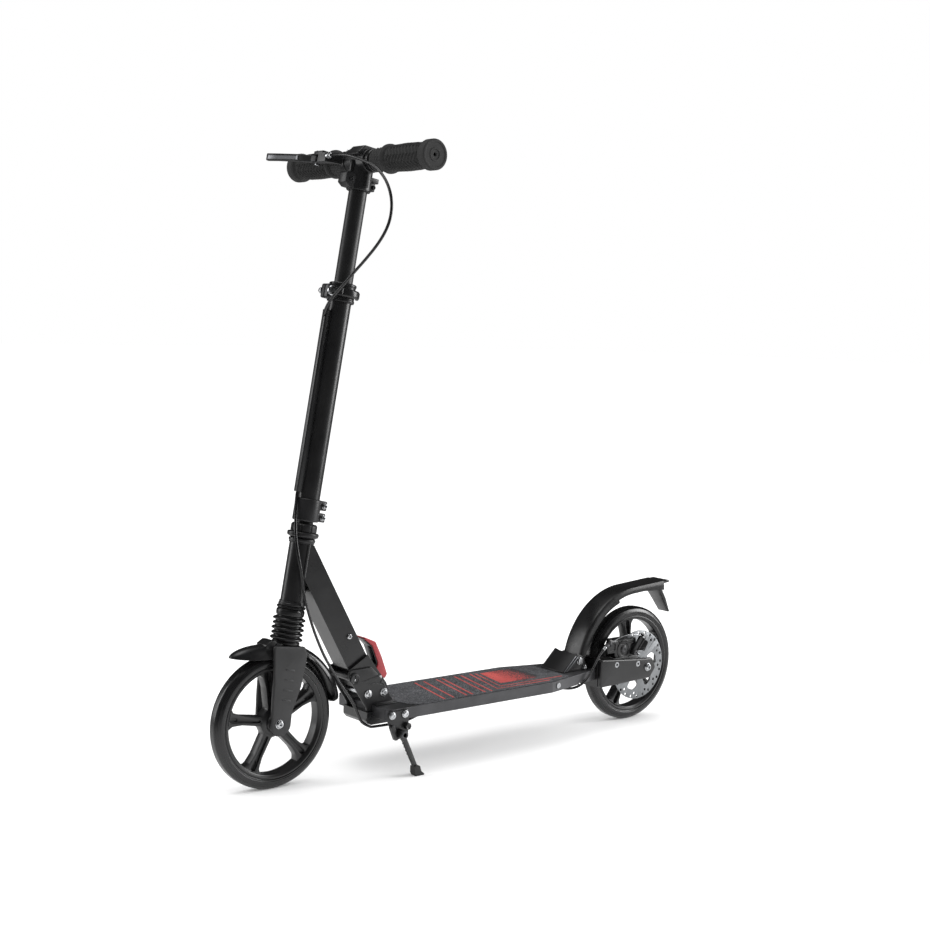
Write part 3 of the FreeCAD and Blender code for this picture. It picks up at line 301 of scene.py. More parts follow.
def combined(base: Shape, how: Join, *tools: Shape) -> Shape:
    """A solid combined with others.

    Args:
        base: the solid that is changed.
        how: whether the others are added or cut away.
        tools: the other solids, one after the other.

    Returns:
        The new solid.
    """
    scene = bpy.context.scene.collection
    names = []
    for shape in (base, *tools):
        mesh = bpy.data.meshes.new("solid")
        shape.to_mesh(mesh)
        shape.free()
        names.append(bpy.data.objects.new("solid", mesh))
        scene.objects.link(names[-1])
    for tool in names[1:]:
        step = names[0].modifiers.new("combine", "BOOLEAN")
        step.operation, step.object, step.solver = how.value, tool, "EXACT"
    bpy.context.view_layer.update()
    done = names[0].evaluated_get(bpy.context.evaluated_depsgraph_get())
    result = bmesh.new()
    result.from_mesh(done.to_mesh())
    for thing in names:
        mesh = thing.data
        bpy.data.objects.remove(thing)
        bpy.data.meshes.remove(mesh)
    bmesh.ops.remove_doubles(result, verts=result.verts, dist=1e-3)
    bmesh.ops.dissolve_degenerate(result, dist=1e-3, edges=result.edges)
    return result


def repeated(shape: Shape, count: int, about: Axis = Axis.Y) -> Shape:
    """Copies of a shape evenly round an axis through the origin, joined side by side."""
    letter = about.value.upper()
    copies = [placed(shape.copy(), Matrix.Rotation(math.tau * i / count, 4, letter))
              for i in range(count)]
    shape.free()
    return joined(*copies)


def route(name: str, points: Sequence[Point], radius: float) -> Thing:
    """A smooth round cord along a route, as a mesh.

    Args:
        name: the object's name.
        points: the route's points in millimetres.
        radius: the cord's radius.

    Returns:
        The cord's object.
    """
    curve = bpy.data.curves.new(name, "CURVE")
    curve.dimensions = "3D"
    spline = curve.splines.new("NURBS")
    spline.points.add(len(points) - 1)
    for spot, point in zip(spline.points, points):
        spot.co = (*(Vector(point) * MM), 1)
    spline.order_u = 3
    spline.use_endpoint_u = True
    spline.resolution_u = 8
    curve.bevel_depth = radius * MM
    curve.bevel_resolution = 4
    curve.use_fill_caps = True
    holder = bpy.data.objects.new(name, curve)
    mesh = bpy.data.meshes.new_from_object(holder)
    bpy.data.objects.remove(holder)
    bpy.data.curves.remove(curve)
    shape = bmesh.new()
    shape.from_mesh(mesh)
    bpy.data.meshes.remove(mesh)
    bmesh.ops.remove_doubles(shape, verts=shape.verts, dist=1e-6)
    bmesh.ops.recalc_face_normals(shape, faces=shape.faces)
    return stand(name, placed(shape, Matrix.Scale(1 / MM, 4)))


def stand(name: str, shape: Shape, place: Matrix = UPRIGHT, smooth_below: float = 38) -> Thing:
    """Turn a drawn shape into an object at the origin, with its place in its mesh.

    Args:
        name: the object's name.
        shape: the shape in millimetres, which is freed.
        place: the frame that it was drawn in.
        smooth_below: edges that turn by fewer degrees are shaded smooth.

    Returns:
        The object.
    """
    placed(shape, Matrix.Scale(MM, 4) @ place)
    mesh = bpy.data.meshes.new(name)
    shape.to_mesh(mesh)
    shape.free()
    mesh.shade_smooth()
    mesh.set_sharp_from_angle(angle=math.radians(smooth_below))
    thing = bpy.data.objects.new(name, mesh)
    bpy.context.scene.collection.objects.link(thing)
    return thing


# ------------------------------------------------------------------ finishes
class Grain(Enum):
    """How a surface was made, which gives its fine relief."""

    COATED = "fine orange peel of baked paint"
    DRAWN = "straight lines of a drawn or extruded bar"
    TURNED = "rings of a lathe or a grinder"
    CAST = "pitted skin of a die casting"
    MOULDED = "even stipple of a moulding tool"
    GRIT = "sharp mineral grains on tape"
    POLISHED = "plated and nearly smooth"


def linear(colour: str) -> tuple[float, float, float, float]:
    """An sRGB hex colour as the linear numbers that shaders read.

    Args:
        colour: six hex digits, with or without a leading #.

    Returns:
        Red, green, blue and a full alpha.
    """
    digits = colour.lstrip("#")
    parts = [int(digits[i:i + 2], 16) / 255 for i in (0, 2, 4)]
    bent = [p / 12.92 if p <= 0.04045 else ((p + 0.055) / 1.055) ** 2.4 for p in parts]
    return (*bent, 1.0)


def add_node(tree: Tree, kind: str, inputs: dict | None = None,
             **settings: object) -> bpy.types.Node:
    """Add a node with its settings and links.

    Args:
        tree: the node tree that gets it.
        kind: the node's type after "ShaderNode".
        inputs: for each input's name or number, a value or the output that feeds it.
        settings: the node's own options.

    Returns:
        The node.
    """
    node = tree.nodes.new("ShaderNode" + kind)
    for option, value in settings.items():
        setattr(node, option, value)
    for key, value in (inputs or {}).items():
        if isinstance(value, Socket):
            tree.links.new(value, node.inputs[key])
        else:
            node.inputs[key].default_value = value
    return node


@dataclass(frozen=True)
class Finish:
    """One surface finish of the scooter, from which its material is made."""

    name: str
    colour: str
    shade: str
    rough: tuple[float, float]
    grain: Grain
    grain_mm: float
    relief_mm: float
    metallic: float = 0.0
    ior: float = 1.5
    patch_mm: float = 45.0
    # colour that edges are lightened to: partly edge wear, partly a painted highlight on every edge
    rubbed: str = ""
    edge_mm: float = 0.7
    coat: float = 0.0
    axis: Axis = Axis.Z

    def grain_output(self, tree: Tree, place: Socket) -> Socket:
        """The height of the fine relief, from 0 to 1.

        Args:
            tree: the material's nodes.
            place: the coordinates that the pattern reads, in metres.

        Returns:
            The output that holds the height.
        """
        fine = 1 / (self.grain_mm * MM)
        if self.grain is Grain.DRAWN:
            # lines many times longer than they are wide, along the bar
            long = {Axis.X: (0.02, 1, 1), Axis.Y: (1, 0.02, 1), Axis.Z: (1, 1, 0.02)}[self.axis]
            drawn = add_node(tree, "Mapping", {"Vector": place, "Scale": long})
            return add_node(tree, "TexNoise", {"Vector": drawn.outputs[0], "Scale": fine,
                                               "Detail": 3.0, "Roughness": 0.7}).outputs[0]
        if self.grain is Grain.TURNED:
            # a ring wave repeats every 0.314 / scale
            return add_node(tree, "TexWave", {"Vector": place, "Scale": 0.314 * fine,
                                              "Distortion": 1.2, "Detail": 3.0,
                                              "Detail Scale": 1.5},
                            wave_type="RINGS", rings_direction=self.axis.name).outputs[1]
        if self.grain is Grain.GRIT:
            grains = add_node(tree, "TexVoronoi", {"Vector": place, "Scale": fine,
                                                   "Randomness": 1.0}, feature="F1")
            return add_node(tree, "MapRange", {"Value": grains.outputs["Distance"],
                                               "From Min": 0.65, "From Max": 0.05}).outputs[0]
        if self.grain is Grain.MOULDED:
            return add_node(tree, "TexVoronoi", {"Vector": place, "Scale": fine,
                                                 "Smoothness": 0.6},
                            feature="SMOOTH_F1").outputs["Distance"]
        detail = {Grain.COATED: 1.5, Grain.CAST: 5.0, Grain.POLISHED: 1.0}[self.grain]
        return add_node(tree, "TexNoise", {"Vector": place, "Scale": fine, "Detail": detail,
                                           "Roughness": 0.55}).outputs[0]

    def edge_output(self, tree: Tree, place: Socket) -> Socket:
        """How far an edge is lightened, from 0 to 1, broken up so that it isn't an even line: partly edge wear,
        partly a painted highlight along the edge.
        """
        around = add_node(tree, "Bevel", {"Radius": self.edge_mm * MM}, samples=6)
        facing = add_node(tree, "NewGeometry")
        turn = add_node(tree, "VectorMath", {0: around.outputs[0], 1: facing.outputs["Normal"]},
                        operation="DOT_PRODUCT")
        edge = add_node(tree, "MapRange", {"Value": turn.outputs["Value"], "From Min": 0.985,
                                           "From Max": 0.80})
        broken = add_node(tree, "TexNoise", {"Vector": place, "Scale": 90.0, "Detail": 4.0,
                                             "Roughness": 0.6})
        part = add_node(tree, "MapRange", {"Value": broken.outputs[0], "From Min": 0.36,
                                           "From Max": 0.62, "To Min": 0.25, "To Max": 1.0})
        return add_node(tree, "Math", {0: edge.outputs[0], 1: part.outputs[0]},
                        operation="MULTIPLY").outputs[0]

    def pattern(self, tree: Tree, place: Socket, colour: Socket) -> Socket:
        """The colour after any pattern of this finish. The plain finish has none."""
        return colour

    def material(self, centre: Point = (0, 0, 0), turn: Matrix = UPRIGHT) -> bpy.types.Material:
        """The finish as a material.

        Args:
            centre: where rings are centred, in millimetres.
            turn: the frame whose axes the lines and rings follow.

        Returns:
            The material, made once for each centre.
        """
        key = self.name + "".join(f"_{round(c)}" for c in centre if any(centre))
        if key in bpy.data.materials:
            return bpy.data.materials[key]
        made = bpy.data.materials.new(key)
        made.use_nodes = True
        tree = made.node_tree
        tree.nodes.clear()
        spot = add_node(tree, "TexCoord").outputs["Object"]
        place = add_node(tree, "Mapping", {"Vector": spot, "Location": Vector(centre) * MM,
                                           "Rotation": turn.to_euler()},
                         vector_type="TEXTURE").outputs[0]
        # broad patches, tens of millimetres across, where the finish is a little lighter
        patches = add_node(tree, "TexNoise", {"Vector": place, "Detail": 3.0,
                                              "Scale": 1 / (self.patch_mm * MM)}).outputs[0]
        patch = add_node(tree, "MapRange", {"Value": patches, "From Min": 0.35,
                                            "From Max": 0.65}).outputs[0]
        grain = self.grain_output(tree, place)
        mixed = add_node(tree, "Mix", {0: patch, 6: linear(self.colour), 7: linear(self.shade)},
                         data_type="RGBA").outputs[2]
        mixed = self.pattern(tree, place, mixed)
        blend = add_node(tree, "Math", {0: patch, 1: grain}, operation="ADD").outputs[0]
        rough = add_node(tree, "MapRange", {"Value": blend, "From Min": 0.2, "From Max": 1.6,
                                            "To Min": self.rough[0],
                                            "To Max": self.rough[1]}).outputs[0]
        # lighter edges: partly edge wear, partly a painted highlight along every edge
        if self.rubbed:
            edge = self.edge_output(tree, place)
            mixed = add_node(tree, "Mix", {0: edge, 6: mixed, 7: linear(self.rubbed)},
                             data_type="RGBA").outputs[2]
        soft = add_node(tree, "Bevel", {"Radius": self.edge_mm * MM}, samples=6)
        relief = add_node(tree, "Bump", {"Height": grain, "Distance": self.relief_mm * MM,
                                         "Normal": soft.outputs[0]})
        shader = add_node(tree, "BsdfPrincipled",
                          {"Base Color": mixed, "Roughness": rough, "Metallic": self.metallic,
                           "IOR": self.ior, "Coat Weight": self.coat, "Coat Roughness": 0.12,
                           "Normal": relief.outputs[0]})
        add_node(tree, "OutputMaterial", {"Surface": shader.outputs[0]})
        return made


@dataclass(frozen=True)
class Speckled(Finish):
    """A finish of loose grains, each with its own grey."""

    def pattern(self, tree: Tree, place: Socket, colour: Socket) -> Socket:
        """The colour with one random brightness for each grain, a few of them pale."""
        grains = add_node(tree, "TexVoronoi", {"Vector": place,
                                               "Scale": 1 / (self.grain_mm * MM)})
        value = add_node(tree, "SeparateColor", {0: grains.outputs["Color"]}).outputs[0]
        pale = add_node(tree, "Math", {0: value, 1: 3.0}, operation="POWER").outputs[0]
        return add_node(tree, "Mix", {0: pale, 6: colour, 7: linear("#6d6e72")},
                        data_type="RGBA").outputs[2]


# Each finish below lightens its edges towards a paler colour: partly edge wear, partly a painted highlight on
# every edge.
# Black powder coat baked on aluminium tube: satin, with a faint orange peel.
TUBE_BLACK = Finish("powder_coated_tube", "#111112", "#161617", (0.26, 0.36), Grain.COATED,
                    grain_mm=1.6, relief_mm=0.012, rubbed="#29292b")
# Satin black anodised tube that slides in the column: a duller, wider sheen.
SATIN_BLACK = Finish("satin_anodised_tube", "#121213", "#171718", (0.40, 0.50), Grain.DRAWN,
                     grain_mm=1.4, relief_mm=0.01, rubbed="#29292b")
# Dark grey anodised extrusion: a metal sheen with die lines along the deck.
DECK_GREY = Finish("anodised_extrusion", "#3d3d3f", "#474749", (0.36, 0.50), Grain.DRAWN,
                   grain_mm=1.2, relief_mm=0.02, metallic=0.55, rubbed="#77777a", axis=Axis.X)
# Pale grey brushed aluminium finish. On the brake lever it is a painted highlight: a lighter strip in the recess
# along the blade's front edge.
LEVER_GREY = Finish("pale_grey_strip", "#808184", "#6f7073", (0.30, 0.42), Grain.DRAWN,
                    grain_mm=0.9, relief_mm=0.015, metallic=0.8, rubbed="#a8a8ab", axis=Axis.Y)
# Painted die-cast aluminium: duller than the tube, with a slightly pitted skin.
CAST_BLACK = Finish("painted_casting", "#121213", "#18181a", (0.30, 0.44), Grain.CAST,
                    grain_mm=2.2, relief_mm=0.05, rubbed="#3c3c3e")
# Zinc-plated steel screws and nuts: bright, with a little grey haze.
BRIGHT_STEEL = Finish("zinc_plated_steel", "#c3c4c6", "#a9abad", (0.18, 0.32), Grain.POLISHED,
                      grain_mm=1.4, relief_mm=0.01, metallic=1.0, rubbed="#e2e2e2", edge_mm=0.4)
# Black oxide steel: dark, faintly metallic, oily sheen.
BLACK_STEEL = Finish("black_oxide_steel", "#1b1b1c", "#242425", (0.30, 0.44), Grain.TURNED,
                     grain_mm=0.8, relief_mm=0.01, metallic=0.7, rubbed="#6b6b6d")
# Ground stainless steel of the brake rotor: pale grey, rings from the grinder.
ROTOR_STEEL = Finish("ground_stainless", "#87898b", "#77797b", (0.36, 0.50), Grain.TURNED,
                     grain_mm=0.9, relief_mm=0.015, metallic=1.0, rubbed="#b0b1b2",
                     edge_mm=0.4, axis=Axis.Z)
# Glass-filled nylon moulding: near black, even stipple, fairly glossy.
NYLON_BLACK = Finish("moulded_nylon", "#101011", "#151516", (0.26, 0.38), Grain.MOULDED,
                     grain_mm=1.1, relief_mm=0.015, rubbed="#303032")
# Cast polyurethane tyre: very dark and glossy, with fine mould rings.
TYRE_BLACK = Finish("cast_polyurethane", "#0b0b0c", "#111112", (0.20, 0.34), Grain.TURNED,
                    grain_mm=3.5, relief_mm=0.02, rubbed="#242426", axis=Axis.Z)
# Moulded polypropylene fenders: smooth and glossy, slightly wavy where the skin cooled.
FENDER_BLACK = Finish("moulded_polypropylene", "#0c0c0d", "#111112", (0.22, 0.34), Grain.POLISHED,
                      grain_mm=9.0, relief_mm=0.03, rubbed="#252527")
# Hot-pressed fork legs under matt powder coat: greyer and duller than the tubes.
LEG_BLACK = Finish("matt_powder_coat", "#1c1c1d", "#232324", (0.42, 0.55), Grain.COATED,
                   grain_mm=1.3, relief_mm=0.03, rubbed="#4c4c4f", edge_mm=0.9)
# Bellows of nitrile rubber: soft folds with a wet-looking gloss.
BOOT_RUBBER = Finish("nitrile_rubber", "#0a0a0b", "#101011", (0.22, 0.36), Grain.MOULDED,
                     grain_mm=1.2, relief_mm=0.02, rubbed="#1d1d1f")
# Soft thermoplastic rubber of the grips.
SOFT_RUBBER = Finish("soft_rubber", "#050506", "#08080a", (0.20, 0.28), Grain.MOULDED,
                     grain_mm=0.9, relief_mm=0.03, rubbed="#29292b")
# Red polypropylene pedal: half-gloss, colour through and through.
PEDAL_RED = Finish("red_polypropylene", "#8e2a30", "#a03339", (0.28, 0.42), Grain.MOULDED,
                   grain_mm=1.0, relief_mm=0.02, rubbed="#c4626a")
# PVC outer of the brake cable: smooth and shiny.
CABLE_BLACK = Finish("cable_cover_pvc", "#0d0d0e", "#141415", (0.18, 0.30), Grain.POLISHED,
                     grain_mm=2.0, relief_mm=0.01, rubbed="#2c2c2e")
# Grip tape: black mineral grains, each a different grey. Real grains are 0.3 mm; these are
# 1.4 mm, the smallest that still show.
GRIP_TAPE = Speckled("mineral_grip_tape", "#232427", "#2c2d30", (0.62, 0.85), Grain.GRIT,
                     grain_mm=1.4, relief_mm=0.22)


class Wears(Enum):
    """The finish of every CAD part that keeps its own shape, by material slot."""

    anodised_black = TUBE_BLACK
    deck_grey = DECK_GREY
    cast_black = CAST_BLACK
    bright_steel = BRIGHT_STEEL
    black_steel = BLACK_STEEL
    rotor_steel = ROTOR_STEEL
    moulded_black = NYLON_BLACK
    tyre_black = TYRE_BLACK
    soft_rubber = SOFT_RUBBER
    red_plastic = PEDAL_RED
    cable_black = CABLE_BLACK
    grip_tape = GRIP_TAPE


def dress(thing: Thing, *materials: bpy.types.Material) -> Thing:
    """Give an object its materials, slot by slot.

    Args:
        thing: a mesh object.
        materials: the material of each slot; the last one fills the slots left over.

    Returns:
        The object.
    """
    slots = thing.data.materials
    while len(slots) < len(materials):
        slots.append(None)
    for i in range(len(slots)):
        slots[i] = materials[min(i, len(materials) - 1)]
    return thing


def fitted(thing: Thing, body: str, slot: str, *stands_for: str) -> Thing:
    """Fix a finished piece to a body of the model and report it.

    Args:
        thing: the piece.
        body: the body that it moves with.
        slot: the record's material slot; not used.
        stands_for: the CAD parts that it replaces.

    Returns:
        The piece.
    """
    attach(thing, body)
    if stands_for:
        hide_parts(*stands_for)
    log.info("%s: %d faces on %s", thing.name, len(thing.data.polygons), body)
    return thing


def fit_all(pieces: Iterable[tuple], place: Matrix = UPRIGHT, smooth_below: float = 38) -> None:
    """Dress pieces and fix each to its body.

    Args:
        pieces: (name, shape, body, finish, slot, *CAD parts that it replaces) for each.
        place: the frame that they were drawn in.
        smooth_below: edges that turn by fewer degrees are shaded smooth.
    """
    for name, shape, body, finish, slot, *nodes in pieces:
        thing = dress(stand(name, shape, place, smooth_below), finish.material())
        fitted(thing, body, slot, *nodes)


def skin(along: int, across: int, spot: Callable[[float, float], Vector], thick: float) -> Shape:
    """A curved sheet, bent from a flat grid and then given its wall.

    Args:
        along: how many faces it has along its length.
        across: how many faces it has across its width.
        spot: where a point goes, from its share of the length (0 to 1) and of the half width
            (-1 to 1).
        thick: the wall, measured inwards.

    Returns:
        The closed shape.
    """
    shape = bmesh.new()
    bmesh.ops.create_grid(shape, x_segments=along, y_segments=across, size=1)
    for vert in shape.verts:
        vert.co = spot((vert.co.x + 1) / 2, vert.co.y)
    bmesh.ops.remove_doubles(shape, verts=shape.verts, dist=0.02)
    bmesh.ops.dissolve_degenerate(shape, dist=0.01, edges=shape.edges)
    bmesh.ops.recalc_face_normals(shape, faces=shape.faces)
    outward = sum((f.normal * f.calc_area() for f in shape.faces), Vector())
    middle_point = sum((v.co for v in shape.verts), Vector()) / len(shape.verts)
    if outward.dot(middle_point - spot(0.5, 1) + middle_point - spot(0.5, -1)) < 0:
        bmesh.ops.reverse_faces(shape, faces=shape.faces)
    bmesh.ops.solidify(shape, geom=shape.faces[:], thickness=thick)
    bmesh.ops.recalc_face_normals(shape, faces=shape.faces)
    return shape


def lerp(first: float, last: float, share: float) -> float:
    """The value a share of the way from first to last."""
    return first + (last - first) * share


def pan_head(radius: float, height: float, socket: float = 0.0) -> Shape:
    """A screw head standing on Z, domed, with a hexagonal socket in its top.

    Args:
        radius: the head's radius.
        height: how high it stands.
        socket: radius of the socket, or 0 for none.

    Returns:
        The closed shape.
    """
    dome = [(0, 0), (radius, 0), (radius, height * 0.55, height * 0.25),
            (radius * 0.82, height, height * 0.4), (0, height)]
    head = turned(rounded(dome, 3), Axis.Z, 32)
    if socket:
        head = combined(head, Join.CUT, rod((0, 0, height * 0.35), socket, height, sides=6))
    return head


def on_side(shape: Shape, x: float, y: float, z: float) -> Shape:
    """Stand a shape drawn on +Z on a side face, pointing away from the middle.

    Args:
        shape: the shape.
        x: where its foot's centre goes.
        y: the face's place; its sign gives the side.
        z: the height.

    Returns:
        The moved shape.
    """
    tilt = Matrix.Rotation(math.copysign(math.pi / 2, -y), 4, "X")
    return placed(shape, Matrix.Translation((x, y, z)) @ tilt)


# ------------------------------------------------------------------ wheels
def polar(radius: float, degrees: float) -> tuple[float, float]:
    """A point of a circle in the side plane, as (x, z)."""
    angle = math.radians(degrees)
    return radius * math.cos(angle), radius * math.sin(angle)


def mirrored(side: Sequence[Point]) -> list[Point]:
    """An outline from its upper half, run back along the lower side."""
    return [*side, *((a, -b, *rest) for a, b, *rest in reversed(side))]


@dataclass
class Wheel:
    """Tyre and moulded core with five channelled spokes; the hub has seats for its bearings."""

    prefix: str
    body: str
    rotor_boss: float = 0.0
    radius: float = 115.0
    half: float = 15.0
    seat: float = 97.0
    phase: float = -10.0
    spokes: int = 5
    centre: Vector = field(init=False)

    def __post_init__(self) -> None:
        """Take the axle's place from the model."""
        self.centre = middle(f"{self.prefix}_axle")
        self.centre.y = 0

    def tyre(self) -> Shape:
        """Rounded tread, a moulded bead line on each sidewall and a lip on the core."""
        half, top = self.half, self.radius
        side = [(self.seat, half - 1.6, 0.8), (self.seat + 1.2, half - 0.5, 0.8),
                (self.seat + 3.4, half - 0.5, 0.5), (self.seat + 3.9, half, 0.5),
                (self.seat + 8.5, half - 0.2, 3), (top - 4.2, half - 2.8, 4),
                (top - 0.3, 7.4, 5), (top, 4.0, 3)]
        return turned(rounded(mirrored(side), 4), Axis.Y, 160)

    def rim(self) -> Shape:
        """The hoop that carries the tyre, with a rolled lip on both sides."""
        side = [(self.seat, 14.2, 0.8), (self.seat - 3.4, 14.4, 1.0), (self.seat - 5.2, 12.6, 1.5),
                (self.seat - 7.4, 11.2, 1.5), (self.seat - 8.2, 8.0, 1.0)]
        return turned(rounded(mirrored(side), 3), Axis.Y, 120)

    def window(self) -> list[tuple[float, float]]:
        """Outline of the opening between two spokes."""
        near = [(25.0, 8.2, 5), (62.0, 7.6, 16), (81.0, 11.0, 10)]
        step = 360 / self.spokes
        edge = math.degrees(math.atan2(18.5, 88.0))
        turn = Matrix.Rotation(math.radians(step), 2)
        far = [(*(turn @ Vector((a, -b))), r) for a, b, r in reversed(near)]
        count = 9
        arc = [(*polar(90.4, edge + (step - 2 * edge) * i / count), 5 if i in (0, count) else 0)
               for i in range(count + 1)]
        return rounded([*near, *arc, *far], 5)

    def web(self) -> Shape:
        """A disc cut into spokes, with a channel and a deep pocket on both faces of each."""
        disc = turned(rounded([(8, -9), (92, -9), (92, 9), (8, 9)]), Axis.Y, 120)
        openings = repeated(slab(self.window(), -20, 20), self.spokes)
        channel = rounded(mirrored([(26, 2.6, 2.5), (62, 3.4, 10), (78, 4.8, 8), (89, 5.2, 5)]), 5)
        pocket = rounded(mirrored([(70, 2.6, 2.5), (78, 3.9, 6), (88, 4.3, 4.2)]), 5)
        hollows = [repeated(slab(outline, low, low + 20), self.spokes)
                   for outline, depth in ((channel, 4.6), (pocket, 2.2)) for low in
                   (depth, -depth - 20)]
        return combined(disc, Join.CUT, openings, *hollows)

    def hub(self) -> Shape:
        """A waisted hub with a bearing seat at each end."""
        left = self.rotor_boss or 19.5
        nose = [(25, left - 5), (25, left, 1)] if self.rotor_boss else [(17, 19.5, 1.2)]
        foot = [(25, 13.5, 1.5)] if self.rotor_boss else []
        profile = [(11, -19.5), (17, -19.5, 1.2), (17, -12, 3), (24, -8.8, 3), (24, 8.8, 3),
                   (17, 12, 2), *foot, *nose, (11, left)]
        return turned(rounded(profile, 3), Axis.Y, 72)

    def core(self) -> Shape:
        """Hoop, web and hub as one moulding with softened edges."""
        whole = combined(self.web(), Join.ADD, self.rim(), self.hub())
        whole = combined(whole, Join.CUT, rod((0, -60, 0), 7.5, 120, Axis.Y))
        return softened(whole, 0.7, 2, 42)

    def build(self) -> None:
        """Make the tyre and the core and fix them to the wheel's body."""
        place = Matrix.Translation(self.centre)
        across = Axis.Y.turn()
        tyre = stand(f"{self.prefix}_moulded_tyre", self.tyre(), place)
        dress(tyre, TYRE_BLACK.material(self.centre, across))
        fitted(tyre, self.body, "tyre_black", f"{self.prefix}_tyre")
        spin = Matrix.Rotation(math.radians(self.phase), 4, "Y")
        core = stand(f"{self.prefix}_spoked_core", self.core(), place @ spin, 32)
        dress(core, NYLON_BLACK.material())
        fitted(core, self.body, "moulded_black", f"{self.prefix}_rim")


# ------------------------------------------------------------------ front fork and bellows
@dataclass
class Fork:
    """Pressed legs with a ladder relief, crown, bellows and the front fender."""

    inner: float = 20.0
    thick: float = 8.0
    blade_half: float = 22.0
    bellows_folds: int = 5
    relief: float = 0.9

    def leg_outline(self) -> list[tuple[float, float]]:
        """Side outline of a leg, wide at the crown and round at the axle."""
        x, z = middle("front_axle").x, AXLE_HEIGHT
        corners = [(x + 12, z + 134.4, 4), (x - 49.8, z + 126.8, 5), (x - 54, z + 112, 8),
                   (x - 50, z + 90, 30), (x - 41, z + 54, 40), (x - 25, z + 18, 20),
                   (x - 21, z - 21, 19), (x + 16.5, z - 21, 18), (x + 15, z + 10, 30),
                   (x + 14, z + 44, 40), (x + 11.5, z + 78, 30)]
        return rounded(corners, 6)

    def leg(self, side: int) -> Shape:
        """One leg with its relief and axle recess; side is 1 for left and -1 for right."""
        x, z = middle("front_axle").x, AXLE_HEIGHT
        face = self.inner + self.thick
        shape = softened(slab(self.leg_outline(), self.inner, face), 2.6, 4, 50)
        ribs = []
        for i in range(4):
            ahead, up = x - 11.0 + 2.4 * i, z + 93.5 - 17.0 * i
            rung = [(ahead, up), (ahead - 17.0, up - 4.0), (ahead - 17.0, up - 6.6),
                    (ahead, up - 2.6)]
            ribs.append(softened(slab(rung, face - 1, face + self.relief), 0.5, 2))
        recess = rod((x, face - 1.6, z), 8.4, 8, Axis.Y, 40)
        bore = rod((x, self.inner - 1, z), 4.0, 20, Axis.Y, 24)
        shape = combined(shape, Join.CUT, recess, bore)
        shape = combined(shape, Join.ADD, *ribs)
        if side < 0:
            placed(shape, Matrix.Scale(-1, 4, (0, 1, 0)))
        return shape

    def axle(self) -> Shape:
        """Through axle with a domed socket head in the recess of each leg."""
        x, z = middle("front_axle").x, AXLE_HEIGHT
        face = self.inner + self.thick
        bar = rod((x, -face + 2, z), 4, face * 2 - 4, Axis.Y, 32)
        spacers = [turned(rounded([(4.1, 0), (7, 0, 0.5), (7, 0.35, 0.3), (4.1, 0.35)]), Axis.Y, 32,
                          (x, y, z)) for y in (19.6, -19.95)]
        heads = [on_side(pan_head(6.6, 5.2, 3.2), x, side * (face - 1.7), z) for side in (1, -1)]
        washers = [on_side(turned(rounded([(4, 0), (8.1, 0, 0.3), (8.1, 0.9, 0.4), (4, 0.9)]),
                                  Axis.Z, 40), x, side * (face - 1.6), z) for side in (1, -1)]
        return joined(bar, *spacers, *heads, *washers)

    def crown(self) -> Shape:
        """Crown block with a stepped front lip that the fender hooks under."""
        block_shape = softened(block((-25.5, -19.9, 119.2), (29.5, 19.9, 130.8)), 2.2, 3)
        step = softened(block((14, -17, 128), (29, 17, 134.5)), 1.8, 3)
        socket = rod((0, 0, 110), 11.4, 40)
        return combined(combined(block_shape, Join.ADD, step), Join.CUT, socket)

    def bellows(self) -> Shape:
        """Rubber boot: round folds between two plain cuffs."""
        low, high = 132.3, 192.7
        pitch = (high - 14.0 - low - 5.0) / self.bellows_folds
        profile: list[Point] = [(14, low), (24.0, low, 1.0), (24.0, low + 4.2, 1.0)]
        for i in range(self.bellows_folds):
            foot = low + 5.0 + pitch * i
            wide = 27.4 if i % 2 else 28.3
            profile += [(20.6, foot + 0.6, 1.4), (wide - 1.0, foot + pitch * 0.30, 2.0),
                        (wide, foot + pitch * 0.5, 2.0), (wide - 1.4, foot + pitch * 0.74, 2.0)]
        profile += [(20.8, high - 13.4, 1.6), (23.8, high - 11.5, 2.4), (24.4, high - 4.0, 3.0),
                    (22.4, high, 1.4), (14, high)]
        return turned(rounded(profile, 4), Axis.Z, 96)

    def front_lobe(self) -> Shape:
        """The fender ahead of the crown: a spoon shape that ends in a round tip."""
        root, reach = 430.5, 79.5

        def spot(share: float, across: float) -> Vector:
            t = math.sin(share * math.pi / 2)
            half = self.blade_half * (1 - t ** 3.2) ** 0.5
            low = lerp(226.5, 232.5, t ** 2)
            top = lerp(low, 249.5, (1 - t ** 3.4) ** 0.6)
            swell = (1 - abs(across) ** 2.6) ** 0.62
            return Vector((root + reach * t, half * across, lerp(low, top, swell)))

        return skin(40, 36, spot, 2.2)

    def rear_blade(self) -> Shape:
        """The fender behind the crown, down the back of the tyre to a round end."""
        x, z = middle("front_axle").x, AXLE_HEIGHT

        def spot(share: float, across: float) -> Vector:
            angle = lerp(99.0, 171.5, share)
            half = lerp(18.6, self.blade_half, min(1.0, max(0.0, (angle - 111.0) / 9.0)))
            end = max(0.0, (angle - 161.5) / 10.0)
            half *= (1 - end ** 2.6) ** 0.4 if end < 1 else 0.03
            swell = (1 - abs(across) ** 3.0) ** 0.6
            ahead, up = polar(lerp(121.5, 135.0, swell), angle)
            return Vector((x + ahead, half * across, z + up))

        return skin(72, 30, spot, 2.4)

    def bracket(self) -> Shape:
        """Wedge between the fender's root and the crown."""
        outline = [(436, 236), (447, 241), (448.5, 249.5), (437, 256.5), (428, 255), (424, 240)]
        return softened(slab(rounded([(*c, 2) for c in outline], 2), -15.5, 15.5), 1.5, 3)

